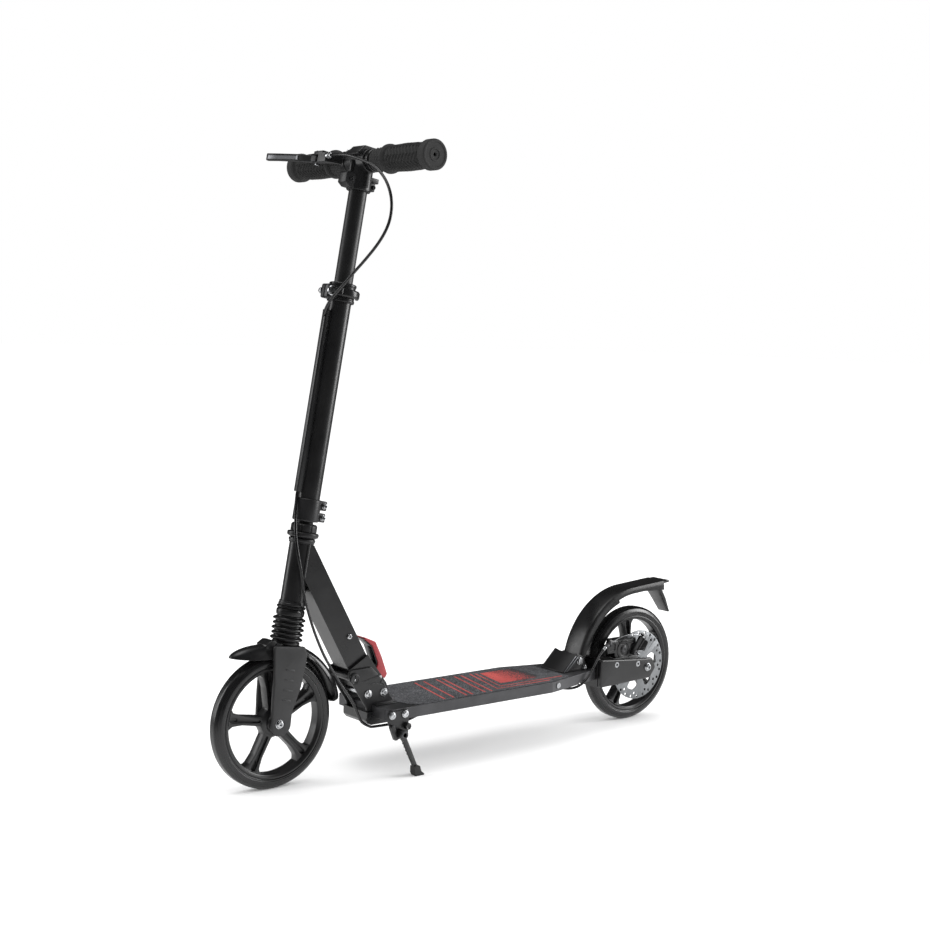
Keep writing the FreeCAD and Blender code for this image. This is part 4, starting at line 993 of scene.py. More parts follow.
    def build(self) -> None:
        """Make each piece and fix it to the fork; the bellows is fixed to no body."""
        for side, name in ((1, "left"), (-1, "right")):
            leg = stand(f"pressed_leg_{name}", self.leg(side), smooth_below=30)
            dress(leg, LEG_BLACK.material())
            fitted(leg, "fork", "cast_black", f"fork_leg_{name}")
        axle = dress(stand("axle_bolt_front", self.axle()), BRIGHT_STEEL.material())
        fitted(axle, "fork", "bright_steel", "front_axle")
        crown = dress(stand("stepped_crown", self.crown(), STEERING), CAST_BLACK.material())
        fitted(crown, "fork", "cast_black", "fork_crown")
        fender = joined(self.front_lobe(), self.rear_blade(), self.bracket())
        fender = dress(stand("moulded_front_fender", fender), FENDER_BLACK.material())
        fitted(fender, "fork", "moulded_black", "front_fender")
        boot = dress(stand("folded_bellows", self.bellows(), STEERING, 50), BOOT_RUBBER.material())
        top, foot = (STEERING @ Vector((0, 0, s)) * MM for s in (190.0, 134.0))
        tuple(top)
        tuple(foot)
        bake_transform(boot)
        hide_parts("bellows")
        log.info("folded_bellows: %d faces across the fork's travel", len(boot.data.polygons))


# ------------------------------------------------------------------ steering column
def swung(profile: Sequence[Point], first: float, sweep: float, steps: int = 40) -> Shape:
    """A section swung part of the way round Z.

    Args:
        profile: (radius, height) points of the section.
        first: the angle where it starts, in degrees from +X towards +Y.
        sweep: how many degrees it turns.
        steps: steps in the turn.

    Returns:
        The closed shape.
    """
    shape = bmesh.new()
    face = shape.faces.new([shape.verts.new((r, 0, h)) for r, h in profile])
    turn = Matrix.Rotation(math.radians(first), 4, "Z")
    bmesh.ops.transform(shape, matrix=turn, verts=shape.verts)
    bmesh.ops.spin(shape, geom=[face, *face.edges, *face.verts], cent=(0, 0, 0),
                   axis=(0, 0, 1), angle=math.radians(sweep), steps=steps,
                   use_merge=False, use_duplicate=False)
    bmesh.ops.recalc_face_normals(shape, faces=shape.faces)
    return shape


@dataclass
class Column:
    """Head races, collar, cable duct and the quick-release clamp of the steering column."""

    outer: float = 19.05
    collar: float = 22.5
    clamp: float = 23.5
    clamp_low: float = 719.5
    clamp_high: float = 752.3
    skewer_ahead: float = 29.0
    collar_bolts: tuple[float, float] = (352.0, 372.5)

    def cap_and_nut(self) -> Shape:
        """Bevelled dust cap under an eight-notched lock nut."""
        cap = turned(rounded([(14.4, 313.4), (20, 313.4), (26.6, 317, 1.5), (27, 320.5, 1),
                              (27, 323, 1), (25.4, 324.2, 1), (14.4, 324.2)], 3), steps=80)
        nut = turned(rounded([(14.4, 324.9), (22.4, 324.9, 0.6), (22.4, 336, 1.5),
                              (19.8, 338.8, 1), (14.4, 338.8)], 3), steps=72)
        notch = rod((23.4, 0, 320), 2.2, 30, sides=20)
        return joined(cap, combined(nut, Join.CUT, repeated(notch, 8, Axis.Z)))

    def cups(self) -> Shape:
        """The two pressed head cups, each with a stepped lip."""
        lower = [(14.4, 197.6), (22.9, 197.6, 0.8), (22.9, 201.5, 0.6), (22.0, 202.4, 0.4),
                 (22.0, 205.4, 0.5), (14.4, 205.4)]
        upper = [(r, 510.6 - s, *rest) for r, s, *rest in reversed(lower)]
        return joined(turned(rounded(lower, 3), steps=80), turned(rounded(upper, 3), steps=80))

    def race(self) -> Shape:
        """The steerer with the race that the lower cup runs on."""
        return turned(rounded([(11.6, 193.3), (24.6, 193.3, 0.8), (24.6, 197.1, 0.8),
                               (14.3, 197.1), (14.3, 342.9), (11.6, 342.9)], 3), steps=80)

    def collar_body(self) -> Shape:
        """Split collar with two pairs of ears at the back."""
        sleeve = turned(rounded([(self.outer + 0.02, 343.2), (self.collar - 1, 343.2, 0.8),
                                 (self.collar, 345, 0.6), (self.collar, 380, 0.8),
                                 (self.collar - 1.2, 381.5, 0.6), (self.outer + 0.02, 381.5)], 3),
                        steps=80)
        ears = [softened(block((-33.5, -10.8, low), (-15, 10.8, high)), 2.4, 4)
                for low, high in ((344.2, 359.8), (364.2, 380.8))]
        body = combined(sleeve, Join.ADD, *ears)
        slit = block((-40, -1.2, 330), (-10, 1.2, 390))
        return combined(body, Join.CUT, slit, rod((0, 0, 340), self.outer + 0.02, 50, sides=80))

    def collar_screws(self) -> Shape:
        """Socket cap screws through the ears, washers under their heads."""
        parts = []
        for s in self.collar_bolts:
            parts.append(rod((-27, -10.5, s), 2.5, 21, Axis.Y, 20))
            ring = rounded([(2.4, 0), (5.4, 0, 0.3), (5.4, 1, 0.4), (2.4, 1)], 2)
            parts.append(on_side(turned(ring, steps=32), -27, 10.6, s))
            parts.append(on_side(pan_head(4.6, 3.8, 2.3), -27, 11.4, s))
            nut = softened(rod((0, 0, 0), 4.3, 3.2, sides=6), 0.5, 2)
            parts.append(on_side(nut, -27, -10.7, s))
        return joined(*parts)

    def duct(self) -> Shape:
        """The square channel down the front of the tube that hides the cable."""
        shape = block((self.outer - 4, -5.75, 391), (29.6, 5.75, 702.6))
        long_edges = [e for e in shape.edges
                      if abs(e.verts[0].co.z - e.verts[1].co.z) > 100 and e.verts[0].co.x > 20]
        bmesh.ops.bevel(shape, geom=long_edges, offset=2.0, offset_type="OFFSET", affect="EDGES",
                        segments=4, profile=0.5, material=-1)
        shape = combined(shape, Join.CUT, rod((0, 0, 380), self.outer + 0.02, 330, sides=96),
                         rod((25.4, 0, 380), 2.8, 330, sides=24))
        return softened(shape, 0.5, 2, 60)

    def clamp_body(self) -> Shape:
        """Clamp ring with rolled rims and a split front lug."""
        low, high = self.clamp_low, self.clamp_high
        edge = self.clamp
        ring = turned(rounded([(self.outer + 0.02, low + 0.1), (edge - 0.6, low + 0.1, 0.8),
                               (edge, low + 2, 0.8), (edge, low + 4.4, 0.6),
                               (edge - 0.9, low + 5.2, 0.6), (edge - 0.9, high - 5.4, 0.6),
                               (edge, high - 4.6, 0.6), (edge, high - 1.6, 0.8),
                               (edge - 1.4, high - 0.1, 0.8), (15.95, high - 0.1),
                               (15.95, 735.2), (self.outer + 0.02, 735.2)], 3), steps=96)
        lug = block((15, -11.9, low + 2.2), (35.8, 11.9, high - 6.2))
        softened(lug, 3.4, 4)
        body = combined(ring, Join.ADD, lug)
        slit = block((10, -1.4, low - 5), (40, 1.4, high + 5))
        bore = rod((0, 0, low - 2), self.outer + 0.02, 735.2 - low + 2, sides=96)
        above = rod((0, 0, 735), 15.95, 40, sides=96)
        hole = rod((self.skewer_ahead, -40, self.skewer_height), 3.05, 80, Axis.Y, 24)
        return combined(body, Join.CUT, slit, bore, above, hole)

    @property
    def skewer_height(self) -> float:
        """Height of the skewer on the steering axis."""
        return (self.clamp_low + self.clamp_high) / 2 - 1

    def skewer(self) -> Shape:
        """Skewer with an acorn nut on the right and the cam barrel on the left."""
        ahead, up = self.skewer_ahead, self.skewer_height
        bar = rod((ahead, -20, up), 3, 38.6, Axis.Y, 32)
        barrel = turned(rounded([(0, -6.4), (3.45, -6.4, 0.8), (3.45, 6.4, 0.8), (0, 6.4)], 3),
                        steps=32, at=(ahead, 18.6, up))
        collar_nut = softened(rod((0, 0, 0), 6.6, 5.4, sides=6), 0.6, 2)
        dome = turned(rounded([(0, 5), (5.1, 5), (5.1, 7.2, 1.2), (3.6, 10.4, 2.4), (0, 11.6)], 4),
                      steps=32)
        washer = turned(rounded([(3, 0), (7, 0, 0.4), (7, 0.9, 0.4), (3, 0.9)], 2), steps=32)
        nut = joined(collar_nut, dome)
        bmesh.ops.translate(nut, verts=nut.verts, vec=(0, 0, 0.9))
        shoe = [(9.2, 0), (9.2, 3.2, 0.8), (7.4, 5.2, 0.8), (3, 5.2), (3, 0)]
        pad = turned(rounded(shoe, 3), steps=40)
        return joined(bar, barrel, on_side(joined(nut, washer), ahead, -12.2, up),
                      on_side(pad, ahead, 12.1, up))

    def lever(self) -> Shape:
        """Forged cam lever that curls round the left side of the clamp."""
        reach, thick, up = self.clamp + 1.3, 6.0, self.skewer_height
        low, high = up - 7, up + 7
        section = rounded([(reach + 0.1, low + 0.4, 1), (reach + thick - 1.6, low, 1.5),
                           (reach + thick, low + 3, 3), (reach + thick, high - 3, 3),
                           (reach + thick - 1.6, high, 1.5), (reach + 0.1, high - 0.4, 1)], 4)
        band = swung(section, 47, 113, 48)
        boss = turned(rounded([(0, low), (6, low, 1.4), (6, high, 1.4), (0, high)], 3), steps=48,
                      at=(self.skewer_ahead, 18.6, 0))
        web = slab(rounded([(29.5, 24.2), (16, 28.4, 3), (13.4, 21.6), (19, 17), (28, 13.6)], 3),
                   low + 0.6, high - 0.6, Axis.Z)
        body = combined(boss, Join.ADD, softened(web, 1.2, 3), band)
        inside = rod((0, 0, low - 4), reach, 30, sides=96)
        pocket = rod((self.skewer_ahead, 18.6, low - 4), 3.55, 30, sides=32)
        fork = block((25.4, 5, up - 3.6), (40, 30, up + 3.6))
        end = math.radians(153)
        finger = rod(((reach + thick - 2.6) * math.cos(end), (reach + thick - 2.6) * math.sin(end),
                      low - 4), 2.3, 30, sides=24)
        return softened(combined(body, Join.CUT, inside, pocket, fork, finger), 0.5, 2, 55)

    def build(self) -> None:
        """Make each piece and fix it to the column, the frame or the lever."""
        pieces = [
            ("dust_cap_and_lock_nut", self.cap_and_nut(), "column", CAST_BLACK, "cast_black",
             "headset_nuts"),
            ("pressed_head_cups", self.cups(), "front_frame", CAST_BLACK, "cast_black",
             "headset_cups"),
            ("steerer_and_race", self.race(), "column", BLACK_STEEL, "black_steel",
             "steerer_tube"),
            ("split_collar", self.collar_body(), "column", CAST_BLACK, "cast_black",
             "stem_collar"),
            ("collar_screws", self.collar_screws(), "column", BRIGHT_STEEL, "bright_steel",
             "collar_bolts"),
            ("cable_channel", self.duct(), "column", TUBE_BLACK, "anodised_black",
             "cable_duct"),
            ("height_clamp_ring", self.clamp_body(), "column", CAST_BLACK, "cast_black",
             "height_clamp"),
            ("cam_skewer", self.skewer(), "column", BRIGHT_STEEL, "bright_steel",
             "clamp_skewer"),
            ("cam_lever", self.lever(), "clamp_handle", TUBE_BLACK, "anodised_black",
             "clamp_lever"),
        ]
        fit_all(pieces, STEERING, 34)


# ------------------------------------------------------------------ handlebar
def wave(turns: float) -> float:
    """A triangle wave from 0 to 1 and back once for each whole turn."""
    return 1 - abs((turns % 1.0) * 2 - 1)


@dataclass
class Handlebar:
    """T-head, crossbar, ribbed grips and the brake lever with its perch."""

    centre: float = 963.7
    grip_start: float = 41.5
    grip_end: float = 200.0
    rib_height: float = 2.7
    lever_at: tuple[float, float] = (36.0, -84.0)

    def t_head(self) -> Shape:
        """Cast head: bar sleeve, socket with ribs, a raised saddle and two pinch lugs."""
        mid = self.centre
        sleeve = turned(rounded([(16.02, -28), (19.4, -28, 0.6), (20.5, -26.8, 0.6),
                                 (20.5, 26.8, 0.6), (19.4, 28, 0.6), (16.02, 28)], 3), Axis.Y, 96,
                        (0, 0, mid))
        socket = turned(rounded([(15.95, 912.2), (20.2, 912.2, 0.8), (21.0, 914, 0.8),
                                 (20.2, 936, 8), (19.6, mid, 2), (15.95, mid)], 4), steps=96)
        saddle = slab(rounded([(-27, 970), (-25.5, 974.5, 2), (-14.5, 987.6, 2.5),
                               (14.5, 987.6, 2.5), (25.5, 974.5, 2), (27, 970)], 4), -16, 21)
        softened(saddle, 1.6, 3, 50)
        brow = slab(rounded([(-20.4, 966), (-14, 975.5, 3), (14, 975.5, 3), (20.4, 966)], 3), -27.6,
                    27.6)
        ridge = softened(block((17, -3.4, 918), (24.2, 3.4, 962)), 1.4, 3)
        side_ridge = softened(block((-3.4, 17, 918), (3.4, 23.6, 960)), 1.4, 3)
        front_lug = slab(rounded([(12, 914.2), (28, 914.2, 1), (36.5, 920, 1), (36.5, 936, 1),
                                  (33, 939.8, 1), (12, 939.8)], 2), -12, 12)
        softened(front_lug, 1.4, 2, 50)
        rear_lug = joined(softened(block((-28, -8.8, 917), (-12, 8.8, 931)), 2.0, 3),
                          softened(block((-35, -7, 932.4), (-12, 7, 941)), 1.6, 3))
        body = combined(sleeve, Join.ADD, socket, saddle, brow, ridge, side_ridge, front_lug,
                        rear_lug)
        slit = block((-40, -1.2, 900), (-10, 1.2, 942))
        bore = rod((0, 0, 905), 15.92, 26, sides=96)
        through = rod((0, -40, mid), 16.02, 80, Axis.Y, 96)
        hollow = rod((25.6, -14, 927), 3.4, 9, Axis.Y, 24)
        return combined(body, Join.CUT, slit, bore, through, hollow)

    def pinch_screws(self) -> Shape:
        """Screws of the two lugs, their heads showing on the left."""
        rear = on_side(pan_head(3.9, 3.4, 2.0), -23.5, 8.6, 924)
        rear_nut = on_side(softened(rod((0, 0, 0), 4.0, 2.8, sides=6), 0.4, 2), -23.5, -8.6, 924)
        front = on_side(pan_head(4.4, 2.6, 2.2), 25.6, 11.6, 927)
        return joined(rear, rear_nut, front)

    def crossbar(self) -> Shape:
        """The bar itself, open at both ends."""
        return turned(rounded([(13.6, -196.9), (15.98, -196.9, 0.5), (15.98, 196.9, 0.5),
                               (13.6, 196.9)], 2), Axis.Y, 72, (0, 0, self.centre))

    def ring(self) -> Shape:
        """Glossy collar beside the T-head."""
        return turned(rounded([(16, 30.8), (19.2, 30.8, 0.8), (19.9, 32.4, 0.8), (19.9, 38.4, 0.8),
                               (19.0, 40.2, 0.8), (16, 40.2)], 3), Axis.Y, 72, (0, 0, self.centre))

    def grip_radius(self, along: float) -> float:
        """Radius of the plain grip at a distance from the middle of the bar."""
        first = self.grip_start
        spots = [(first, 18.0), (first + 2, 19.0), (first + 32.0, 19.4), (first + 34.2, 23.6),
                 (first + 36, 24.9), (first + 39.6, 24.9), (first + 42, 23.2), (first + 45, 19.4),
                 (first + 60, 19.8), (first + 88, 20.6), (first + 112, 20.1), (first + 134, 18.9),
                 (first + 138.5, 19.8), (first + 141.5, 24.2), (first + 144, 25.4),
                 (first + 156.5, 25.4), (first + 158.1, 24.2)]
        for (a, ra), (b, rb) in zip(spots, spots[1:]):
            if a <= along <= b:
                share = (along - a) / (b - a)
                return lerp(ra, rb, share * share * (3 - 2 * share))
        return spots[-1][1]

    def rib(self, along: float, angle: float) -> float:
        """Height of the relief: diamonds on the sleeve, slanted ribs on the palm swell."""
        near = along - self.grip_start
        if 2.5 < near < 31.5:
            a, b = wave(angle * 14 + near / 8), wave(angle * 14 - near / 8)
            fade = min(1.0, (near - 2.5) / 2, (31.5 - near) / 2)
            return 1.8 * min(a, b) * fade
        if 47 < near < 135:
            slant = near / 8.6 + wave(angle * 5) * 1.2
            ridge = min(1.0, max(0.0, wave(slant) * 2.8 - 1.2))
            fade = min(1.0, (near - 47) / 2.5, (135 - near) / 2.5)
            return self.rib_height * ridge * fade
        return 0.0

    def grip(self, side: int) -> Shape:
        """One rubber grip; side is 1 for the left hand and -1 for the right."""
        first, last = self.grip_start, self.grip_end
        count = 230
        outer = [(self.grip_radius(a), a) for a in
                 (first + (last - 0.4 - first) * i / count for i in range(count + 1))]
        dish = [(23.2, last, 0.8), (20.6, last, 0.4), (19.8, last - 0.9, 0.4),
                (11.4, last - 0.9, 0.4),
                (10.8, last - 0.1, 0.4), (8.6, last - 0.1, 0.4), (8.0, last - 1.3, 0.4),
                (3.4, last - 1.3, 0.5), (2.6, last - 4, 0.4), (2.6, 197.2)]
        inside = [(15.9, 197.2), (15.9, first)]
        rim = rounded([(25.0, last - 0.9, 0.5), *dish], 3)
        shape = turned([*outer, *rim[1:], *inside], Axis.Y, 168)
        for vert in shape.verts:
            around = Vector((vert.co.x, vert.co.z))
            if around.length > 17.4 and vert.co.y < last - 8:
                lift = self.rib(vert.co.y, math.atan2(around.y, around.x) / math.tau)
                scale = (around.length + lift) / around.length
                vert.co.x *= scale
                vert.co.z *= scale
        if side < 0:
            placed(shape, Matrix.Rotation(math.pi, 4, "Z"))
        bmesh.ops.translate(shape, verts=shape.verts, vec=(0, 0, self.centre))
        return shape

    def perch(self) -> Shape:
        """Clamp band on the bar and the arm that holds the lever and the adjuster."""
        mid, (x, y) = self.centre, self.lever_at
        band = turned(rounded([(16.02, -41), (20.2, -41, 0.8), (21, -39.4, 0.8), (21, -30, 0.8),
                               (20.2, -28.6, 0.8), (16.02, -28.6)], 3), Axis.Y, 80, (0, 0, mid))
        arm = slab(rounded([(12, -29.5), (30, -39, 4), (44, -49, 4), (45, y + 3, 3), (42, y - 9, 4),
                            (30, y - 9, 4), (29.5, -62, 6), (14, -42)], 4),
                   mid - 8, mid + 9.6, Axis.Z)
        softened(arm, 1.6, 3, 50)
        roof = rounded([(26, -58, 3), (44.6, -58, 3), (45, y - 4, 4), (28, y - 4, 4)], 3)
        roof = softened(slab(roof, mid + 6, mid + 12.4, Axis.Z), 1.2, 2, 50)
        body = combined(band, Join.ADD, arm, roof)
        slot = block((x - 13, y - 15, mid - 6.8), (x + 20, y + 12, mid + 6.3))
        bar_space = rod((0, -60, mid), 16.02, 50, Axis.Y, 80)
        grip_space = rod((0, -200, mid), 25.8, 158.8, Axis.Y, 80)
        pin_hole = rod((x, y, mid - 20), 3, 45, sides=24)
        barrel_hole = rod((41, -52, mid + 3), 4.25, 20, Axis.Y, 24)
        return combined(body, Join.CUT, slot, bar_space, grip_space, pin_hole, barrel_hole)

    def fittings(self) -> Shape:
        """Faceted cable adjuster with its lock ring, the pivot screw and the band screw."""
        mid, (x, y) = self.centre, self.lever_at
        barrel = softened(rod((41, -52, mid + 3), 4.9, 7.6, Axis.Y, 8), 0.5, 2)
        lock = softened(rod((41, -44.0, mid + 3), 5.6, 2.6, Axis.Y, 10), 0.4, 2)
        nose = rounded([(1.2, -41.6), (3.9, -41.6, 0.5), (3.4, -36.4, 0.8), (1.2, -36.1)], 2)
        nose = turned(nose, Axis.Y, 32, (41, 0, mid + 3))
        pin = rod((x, y, mid - 8), 2.9, 20, sides=24)
        head = placed(pan_head(5.0, 2.6, 2.4), Matrix.Translation((x, y, mid + 12.2)))
        foot = placed(softened(rod((0, 0, 0), 4.6, 3, sides=6), 0.4, 2),
                      Matrix.Translation((x, y, mid - 11)))
        band_screw = placed(pan_head(3.4, 3, 1.8),
                            Matrix.Translation((8, -35, mid + 18.2)) @ Matrix.Rotation(0.4, 4, "Y"))
        return joined(barrel, lock, nose, pin, head, foot, band_screw)

    def blade(self) -> tuple[Shape, Shape]:
        """The lever blade, and a pale strip in the recess of its front edge that paints the highlight there."""
        mid, (x, y) = self.centre, self.lever_at
        front = [(x + 9, y - 8, 4), (x + 24, -118, 20), (x + 38, -160, 15), (x + 44.6, -183, 4)]
        back = [(x + 36, -185.8, 4), (x + 29, -160, 15), (x + 13, -118, 20), (x - 6, y - 8, 5)]
        root = [(x - 5.5, y + 5, 4), (x + 7, y + 6, 4)]
        whole = rounded([*root, *front, *back], 5)
        shape = softened(slab(whole, mid - 6.4, mid + 5.9, Axis.Z), 1.5, 3, 50)
        groove = rounded([(x + 21.6, -112.5), (x + 27, -112), (x + 50, -160), (x + 55, -180.5),
                          (x + 41.6, -180.5, 1), (x + 35.6, -161, 12), (x + 21.9, -119, 12)], 4)
        cut = slab(groove, mid - 4.4, mid + 3.9, Axis.Z)
        hole = rod((x, y, mid - 20), 3.05, 40, sides=24)
        shape = combined(shape, Join.CUT, cut, hole)
        # painted highlight: a pale strip laid in the groove where the recessed panel catches the light
        strip = rounded([(x + 21.0, -114), (x + 22.5, -114), (x + 22.9, -118.5, 12),
                         (x + 36.4, -160.5, 12), (x + 42.6, -179.6), (x + 41.0, -180.2),
                         (x + 35.0, -161, 12), (x + 21.4, -119, 12)], 4)
        painted_highlight_strip = softened(slab(strip, mid - 4.2, mid + 3.7, Axis.Z), 0.3, 2)
        return shape, painted_highlight_strip

    def build(self) -> None:
        """Make each piece and fix it to the bar or to the lever."""
        blade, painted_highlight_strip = self.blade()
        pieces = [
            ("cast_t_head", self.t_head(), "handlebar", CAST_BLACK, "cast_black", "t_head"),
            ("pinch_screws", self.pinch_screws(), "handlebar", BLACK_STEEL, "black_steel"),
            ("bar_tube", self.crossbar(), "handlebar", TUBE_BLACK, "anodised_black",
             "crossbar"),
            ("bar_ring", self.ring(), "handlebar", FENDER_BLACK, "moulded_black"),
            ("left_ribbed_grip", self.grip(1), "handlebar", SOFT_RUBBER, "soft_rubber",
             "grip_left"),
            ("right_ribbed_grip", self.grip(-1), "handlebar", SOFT_RUBBER, "soft_rubber",
             "grip_right"),
            ("brake_perch", self.perch(), "handlebar", CAST_BLACK, "cast_black",
             "lever_perch"),
            ("cable_adjuster", self.fittings(), "handlebar", BRIGHT_STEEL, "bright_steel",
             "lever_fittings"),
            ("lever_blade", blade, "hand_lever", CAST_BLACK, "cast_black", "brake_lever"),
            # pale strip that paints the highlight in the lever's recess
            ("lever_strip", painted_highlight_strip, "hand_lever", LEVER_GREY, "deck_grey"),
        ]
        fit_all(pieces, STEERING, 34)


# ------------------------------------------------------------------ folding bracket and strut
@dataclass
class FoldBracket:
    """Weld bead, side plates with grooves, their screws, the lock pin and the pedal."""

    plate_inner: float = 28.0
    plate_thick: float = 4.0
    pedal_half: float = 14.0

    def weld(self) -> Shape:
        """Overlapping beads of weld where the strut meets the head tube."""
        beads = []
        for side in (1, -1):
            for i in range(20):
                bead = bmesh.new()
                bmesh.ops.create_uvsphere(bead, u_segments=16, v_segments=10, radius=3.0)
                bmesh.ops.scale(bead, vec=(1.0, 0.8, 0.75), verts=bead.verts)
                bmesh.ops.translate(bead, vec=(-2.4, side * 20.6, 250 + 2.9 * i),
                                    verts=bead.verts)
                beads.append(bead)
        return joined(*beads)

    def plate(self, side: int) -> Shape:
        """One side plate; side is 1 for left and -1 for right."""
        outline = rounded([(191, 122.7, 1), (238, 122.7), (238, 112.2), (250, 112.2), (251, 119, 3),
                           (288, 176, 5), (289, 190, 4), (241, 191, 5), (221, 171), (205, 146)], 4)
        low, high = self.plate_inner, self.plate_inner + self.plate_thick
        shape = softened(slab(outline, low + 0.05, high), 1.0, 3, 50)
        upper = rounded([(226.5, 176.5, 1), (243, 173.5, 1), (262, 168.5, 1), (262, 166.4, 1),
                         (242, 171, 1), (225.5, 173.8, 1)], 2)
        lower = rounded([(214, 158.5, 1), (230, 163.5, 1), (250, 163, 1), (250, 160.9, 1),
                         (231, 161.3, 1), (214.6, 156.4, 1)], 2)
        groove = rounded([(216, 168, 1), (224, 158, 1), (226, 159.4, 1), (218, 169.4, 1)], 2)
        cuts = [slab(g, high - 0.9, high + 3) for g in (upper, lower, groove)]
        shape = combined(shape, Join.CUT, *cuts)
        if side < 0:
            placed(shape, Matrix.Scale(-1, 4, (0, 1, 0)))
        return shape

    def screws(self) -> Shape:
        """Pivot and stop screws, each in a raised ring."""
        high = self.plate_inner + self.plate_thick
        parts = []
        for x, z in ((low_high("fold_bolts")[0].x + 8, 143.0), (248.0, 144.0)):
            parts.append(rod((x, -high, z), 4.9, high * 2, Axis.Y, 32))
            for side in (1, -1):
                ring = turned(rounded([(5, 0), (7.9, 0, 0.3), (7.6, 1.6, 0.6), (5, 1.6)], 2),
                              steps=40)
                parts.append(on_side(ring, x, side * high, z))
                parts.append(on_side(pan_head(5.6, 3.6, 2.6), x, side * high, z))
        return joined(*parts)

    def lock_pin(self) -> Shape:
        """Turned lock pin with a slotted face."""
        low, high = low_high("lock_pin")
        x, z, reach = (low.x + high.x) / 2, (low.z + high.z) / 2, self.plate_inner + 4.0
        bar = rod((x, -reach, z), 5.9, reach * 2, Axis.Y, 40)
        heads = []
        for side in (1, -1):
            cap = turned(rounded([(0, 0), (9.9, 0, 0.4), (9.9, 3.2, 1.2), (8.6, 4.8, 1.0),
                                  (7.4, 4.8, 0.4), (7.0, 4.0, 0.3), (0, 4.0)], 3), steps=56)
            cap = combined(cap, Join.CUT, block((-1.3, -6.2, 2.6), (1.3, 6.2, 7)))
            heads.append(on_side(cap, x, side * reach, z))
        return joined(bar, *heads)

    def pin_slot(self) -> Shape:
        """Bright key in the slot of the lock pin."""
        low, high = low_high("lock_pin")
        x, z, reach = (low.x + high.x) / 2, (low.z + high.z) / 2, self.plate_inner + 4.0
        return joined(*[softened(block((x - 1.1, side * reach - 3.9 * (side < 0), z - 3.8),
                                       (x + 1.1, side * reach + 3.9 * (side > 0), z + 0.8)), 0.5, 2)
                        for side in (1, -1)])

    def frame_screws(self) -> Shape:
        """Domed screws low on each side of the strut, and the pedal's pin."""
        parts = [on_side(pan_head(4.9, 2.9, 2.2), 283.6, side * 22.0, 248.4) for side in (1, -1)]
        return joined(*parts, rod((218, -27.6, 170), 2.9, 55.2, Axis.Y, 24))

    def pedal(self) -> tuple[Shape, Shape]:
        """The red release pedal with its ribbed edge, and the dark insert of its face."""
        half = self.pedal_half
        outline = rounded([(197.2, 163, 2), (193.2, 170, 3), (206, 203, 14), (220, 231, 8),
                           (242.6, 240.8, 1.5), (243.6, 237.2, 1.5), (227, 224, 3), (213, 190, 10),
                           (223.6, 174.2, 3), (222, 163, 4)], 5)
        body = softened(slab(outline, -half + 0.1, half - 0.1), 1.3, 3, 50)
        ribs = []
        for i in range(9):
            share = i / 8
            x, z = lerp(194.0, 213.0, share), lerp(180.0, 218.0, share)
            ribs.append(rod((x - 1.0 - 1.6 * math.sin(share * math.pi), -half - 1, z), 1.25,
                            half * 2 + 2, Axis.Y, 16))
        barrel = rod((218, -half - 1, 170), 3.0, half * 2 + 2, Axis.Y, 24)
        body = combined(body, Join.CUT, joined(*ribs), barrel)
        face = rounded([(244.2, 238.2, 1), (242.6, 239.0, 1), (225.6, 226.4, 2), (210.8, 190.6, 10),
                        (214, 181, 4), (221, 174.6, 1), (224.4, 175.4, 1), (215.2, 190.2, 8),
                        (228.6, 222.8, 3)], 4)
        insert = softened(slab(face, -half + 2.2, half - 2.2), 0.5, 2, 50)
        return body, insert

    def build(self) -> None:
        """Make each piece and fix it to the deck, the frame or the pedal."""
        weld = ("weld_bead", self.weld(), "front_frame", TUBE_BLACK, "anodised_black")
        fit_all([weld], STEERING, 34)
        body, insert = self.pedal()
        pieces = [
            ("grooved_plate_left", self.plate(1), "deck", CAST_BLACK, "black_steel",
             "fold_plate_left"),
            ("grooved_plate_right", self.plate(-1), "deck", CAST_BLACK, "black_steel",
             "fold_plate_right"),
            ("plate_screws", self.screws(), "deck", BRIGHT_STEEL, "bright_steel",
             "fold_bolts"),
            ("slotted_lock_pin", self.lock_pin(), "deck", CAST_BLACK, "black_steel",
             "lock_pin"),
            ("lock_pin_key", self.pin_slot(), "deck", BRIGHT_STEEL, "bright_steel"),
            ("strut_screws", self.frame_screws(), "front_frame", BRIGHT_STEEL,
             "bright_steel", "frame_pins"),
            ("ribbed_pedal", body, "pedal", PEDAL_RED, "red_plastic",
             "release_pedal"),
            ("pedal_insert", insert, "pedal", NYLON_BLACK, "moulded_black"),
        ]
        fit_all(pieces, smooth_below=34)


# ------------------------------------------------------------------ deck and kickstand
@dataclass(frozen=True)
class Print(Finish):
    """Ink printed on grit: grains show through, and it may fade towards the back."""

    fade_from: float = -9.0
    fade_to: float = -10.0

    def pattern(self, tree: Tree, place: Socket, colour: Socket) -> Socket:
        """The ink, missing from single grains and from more of them where it fades."""
        along = add_node(tree, "SeparateXYZ", {0: place}).outputs[0]
        fade = add_node(tree, "MapRange", {"Value": along, "From Min": self.fade_from,
                                           "From Max": self.fade_to, "To Min": 0.04,
                                           "To Max": 1.0}).outputs[0]
        # one random value for each 1.4 mm grain
        grains = add_node(tree, "TexVoronoi", {"Vector": place,
                                               "Scale": 1 / (self.grain_mm * MM)})
        value = add_node(tree, "SeparateColor", {0: grains.outputs["Color"]}).outputs[0]
        bare = add_node(tree, "Math", {0: fade, 1: value}, operation="GREATER_THAN").outputs[0]
        return add_node(tree, "Mix", {0: bare, 6: colour, 7: linear("#2e2e31")},
                        data_type="RGBA").outputs[2]


# Red screen ink on mineral tape: dull, with bare grains in it.
RED_INK = Print("red_ink_on_grit", "#a43a36", "#b0423d", (0.60, 0.80), Grain.GRIT,
                grain_mm=1.4, relief_mm=0.18)
# The same ink where the panel fades out towards the rear wheel.
RED_FADE = Print("fading_red_ink", "#a43a36", "#b0423d", (0.60, 0.80), Grain.GRIT,
                 grain_mm=1.4, relief_mm=0.18, fade_from=-0.092, fade_to=-0.158)


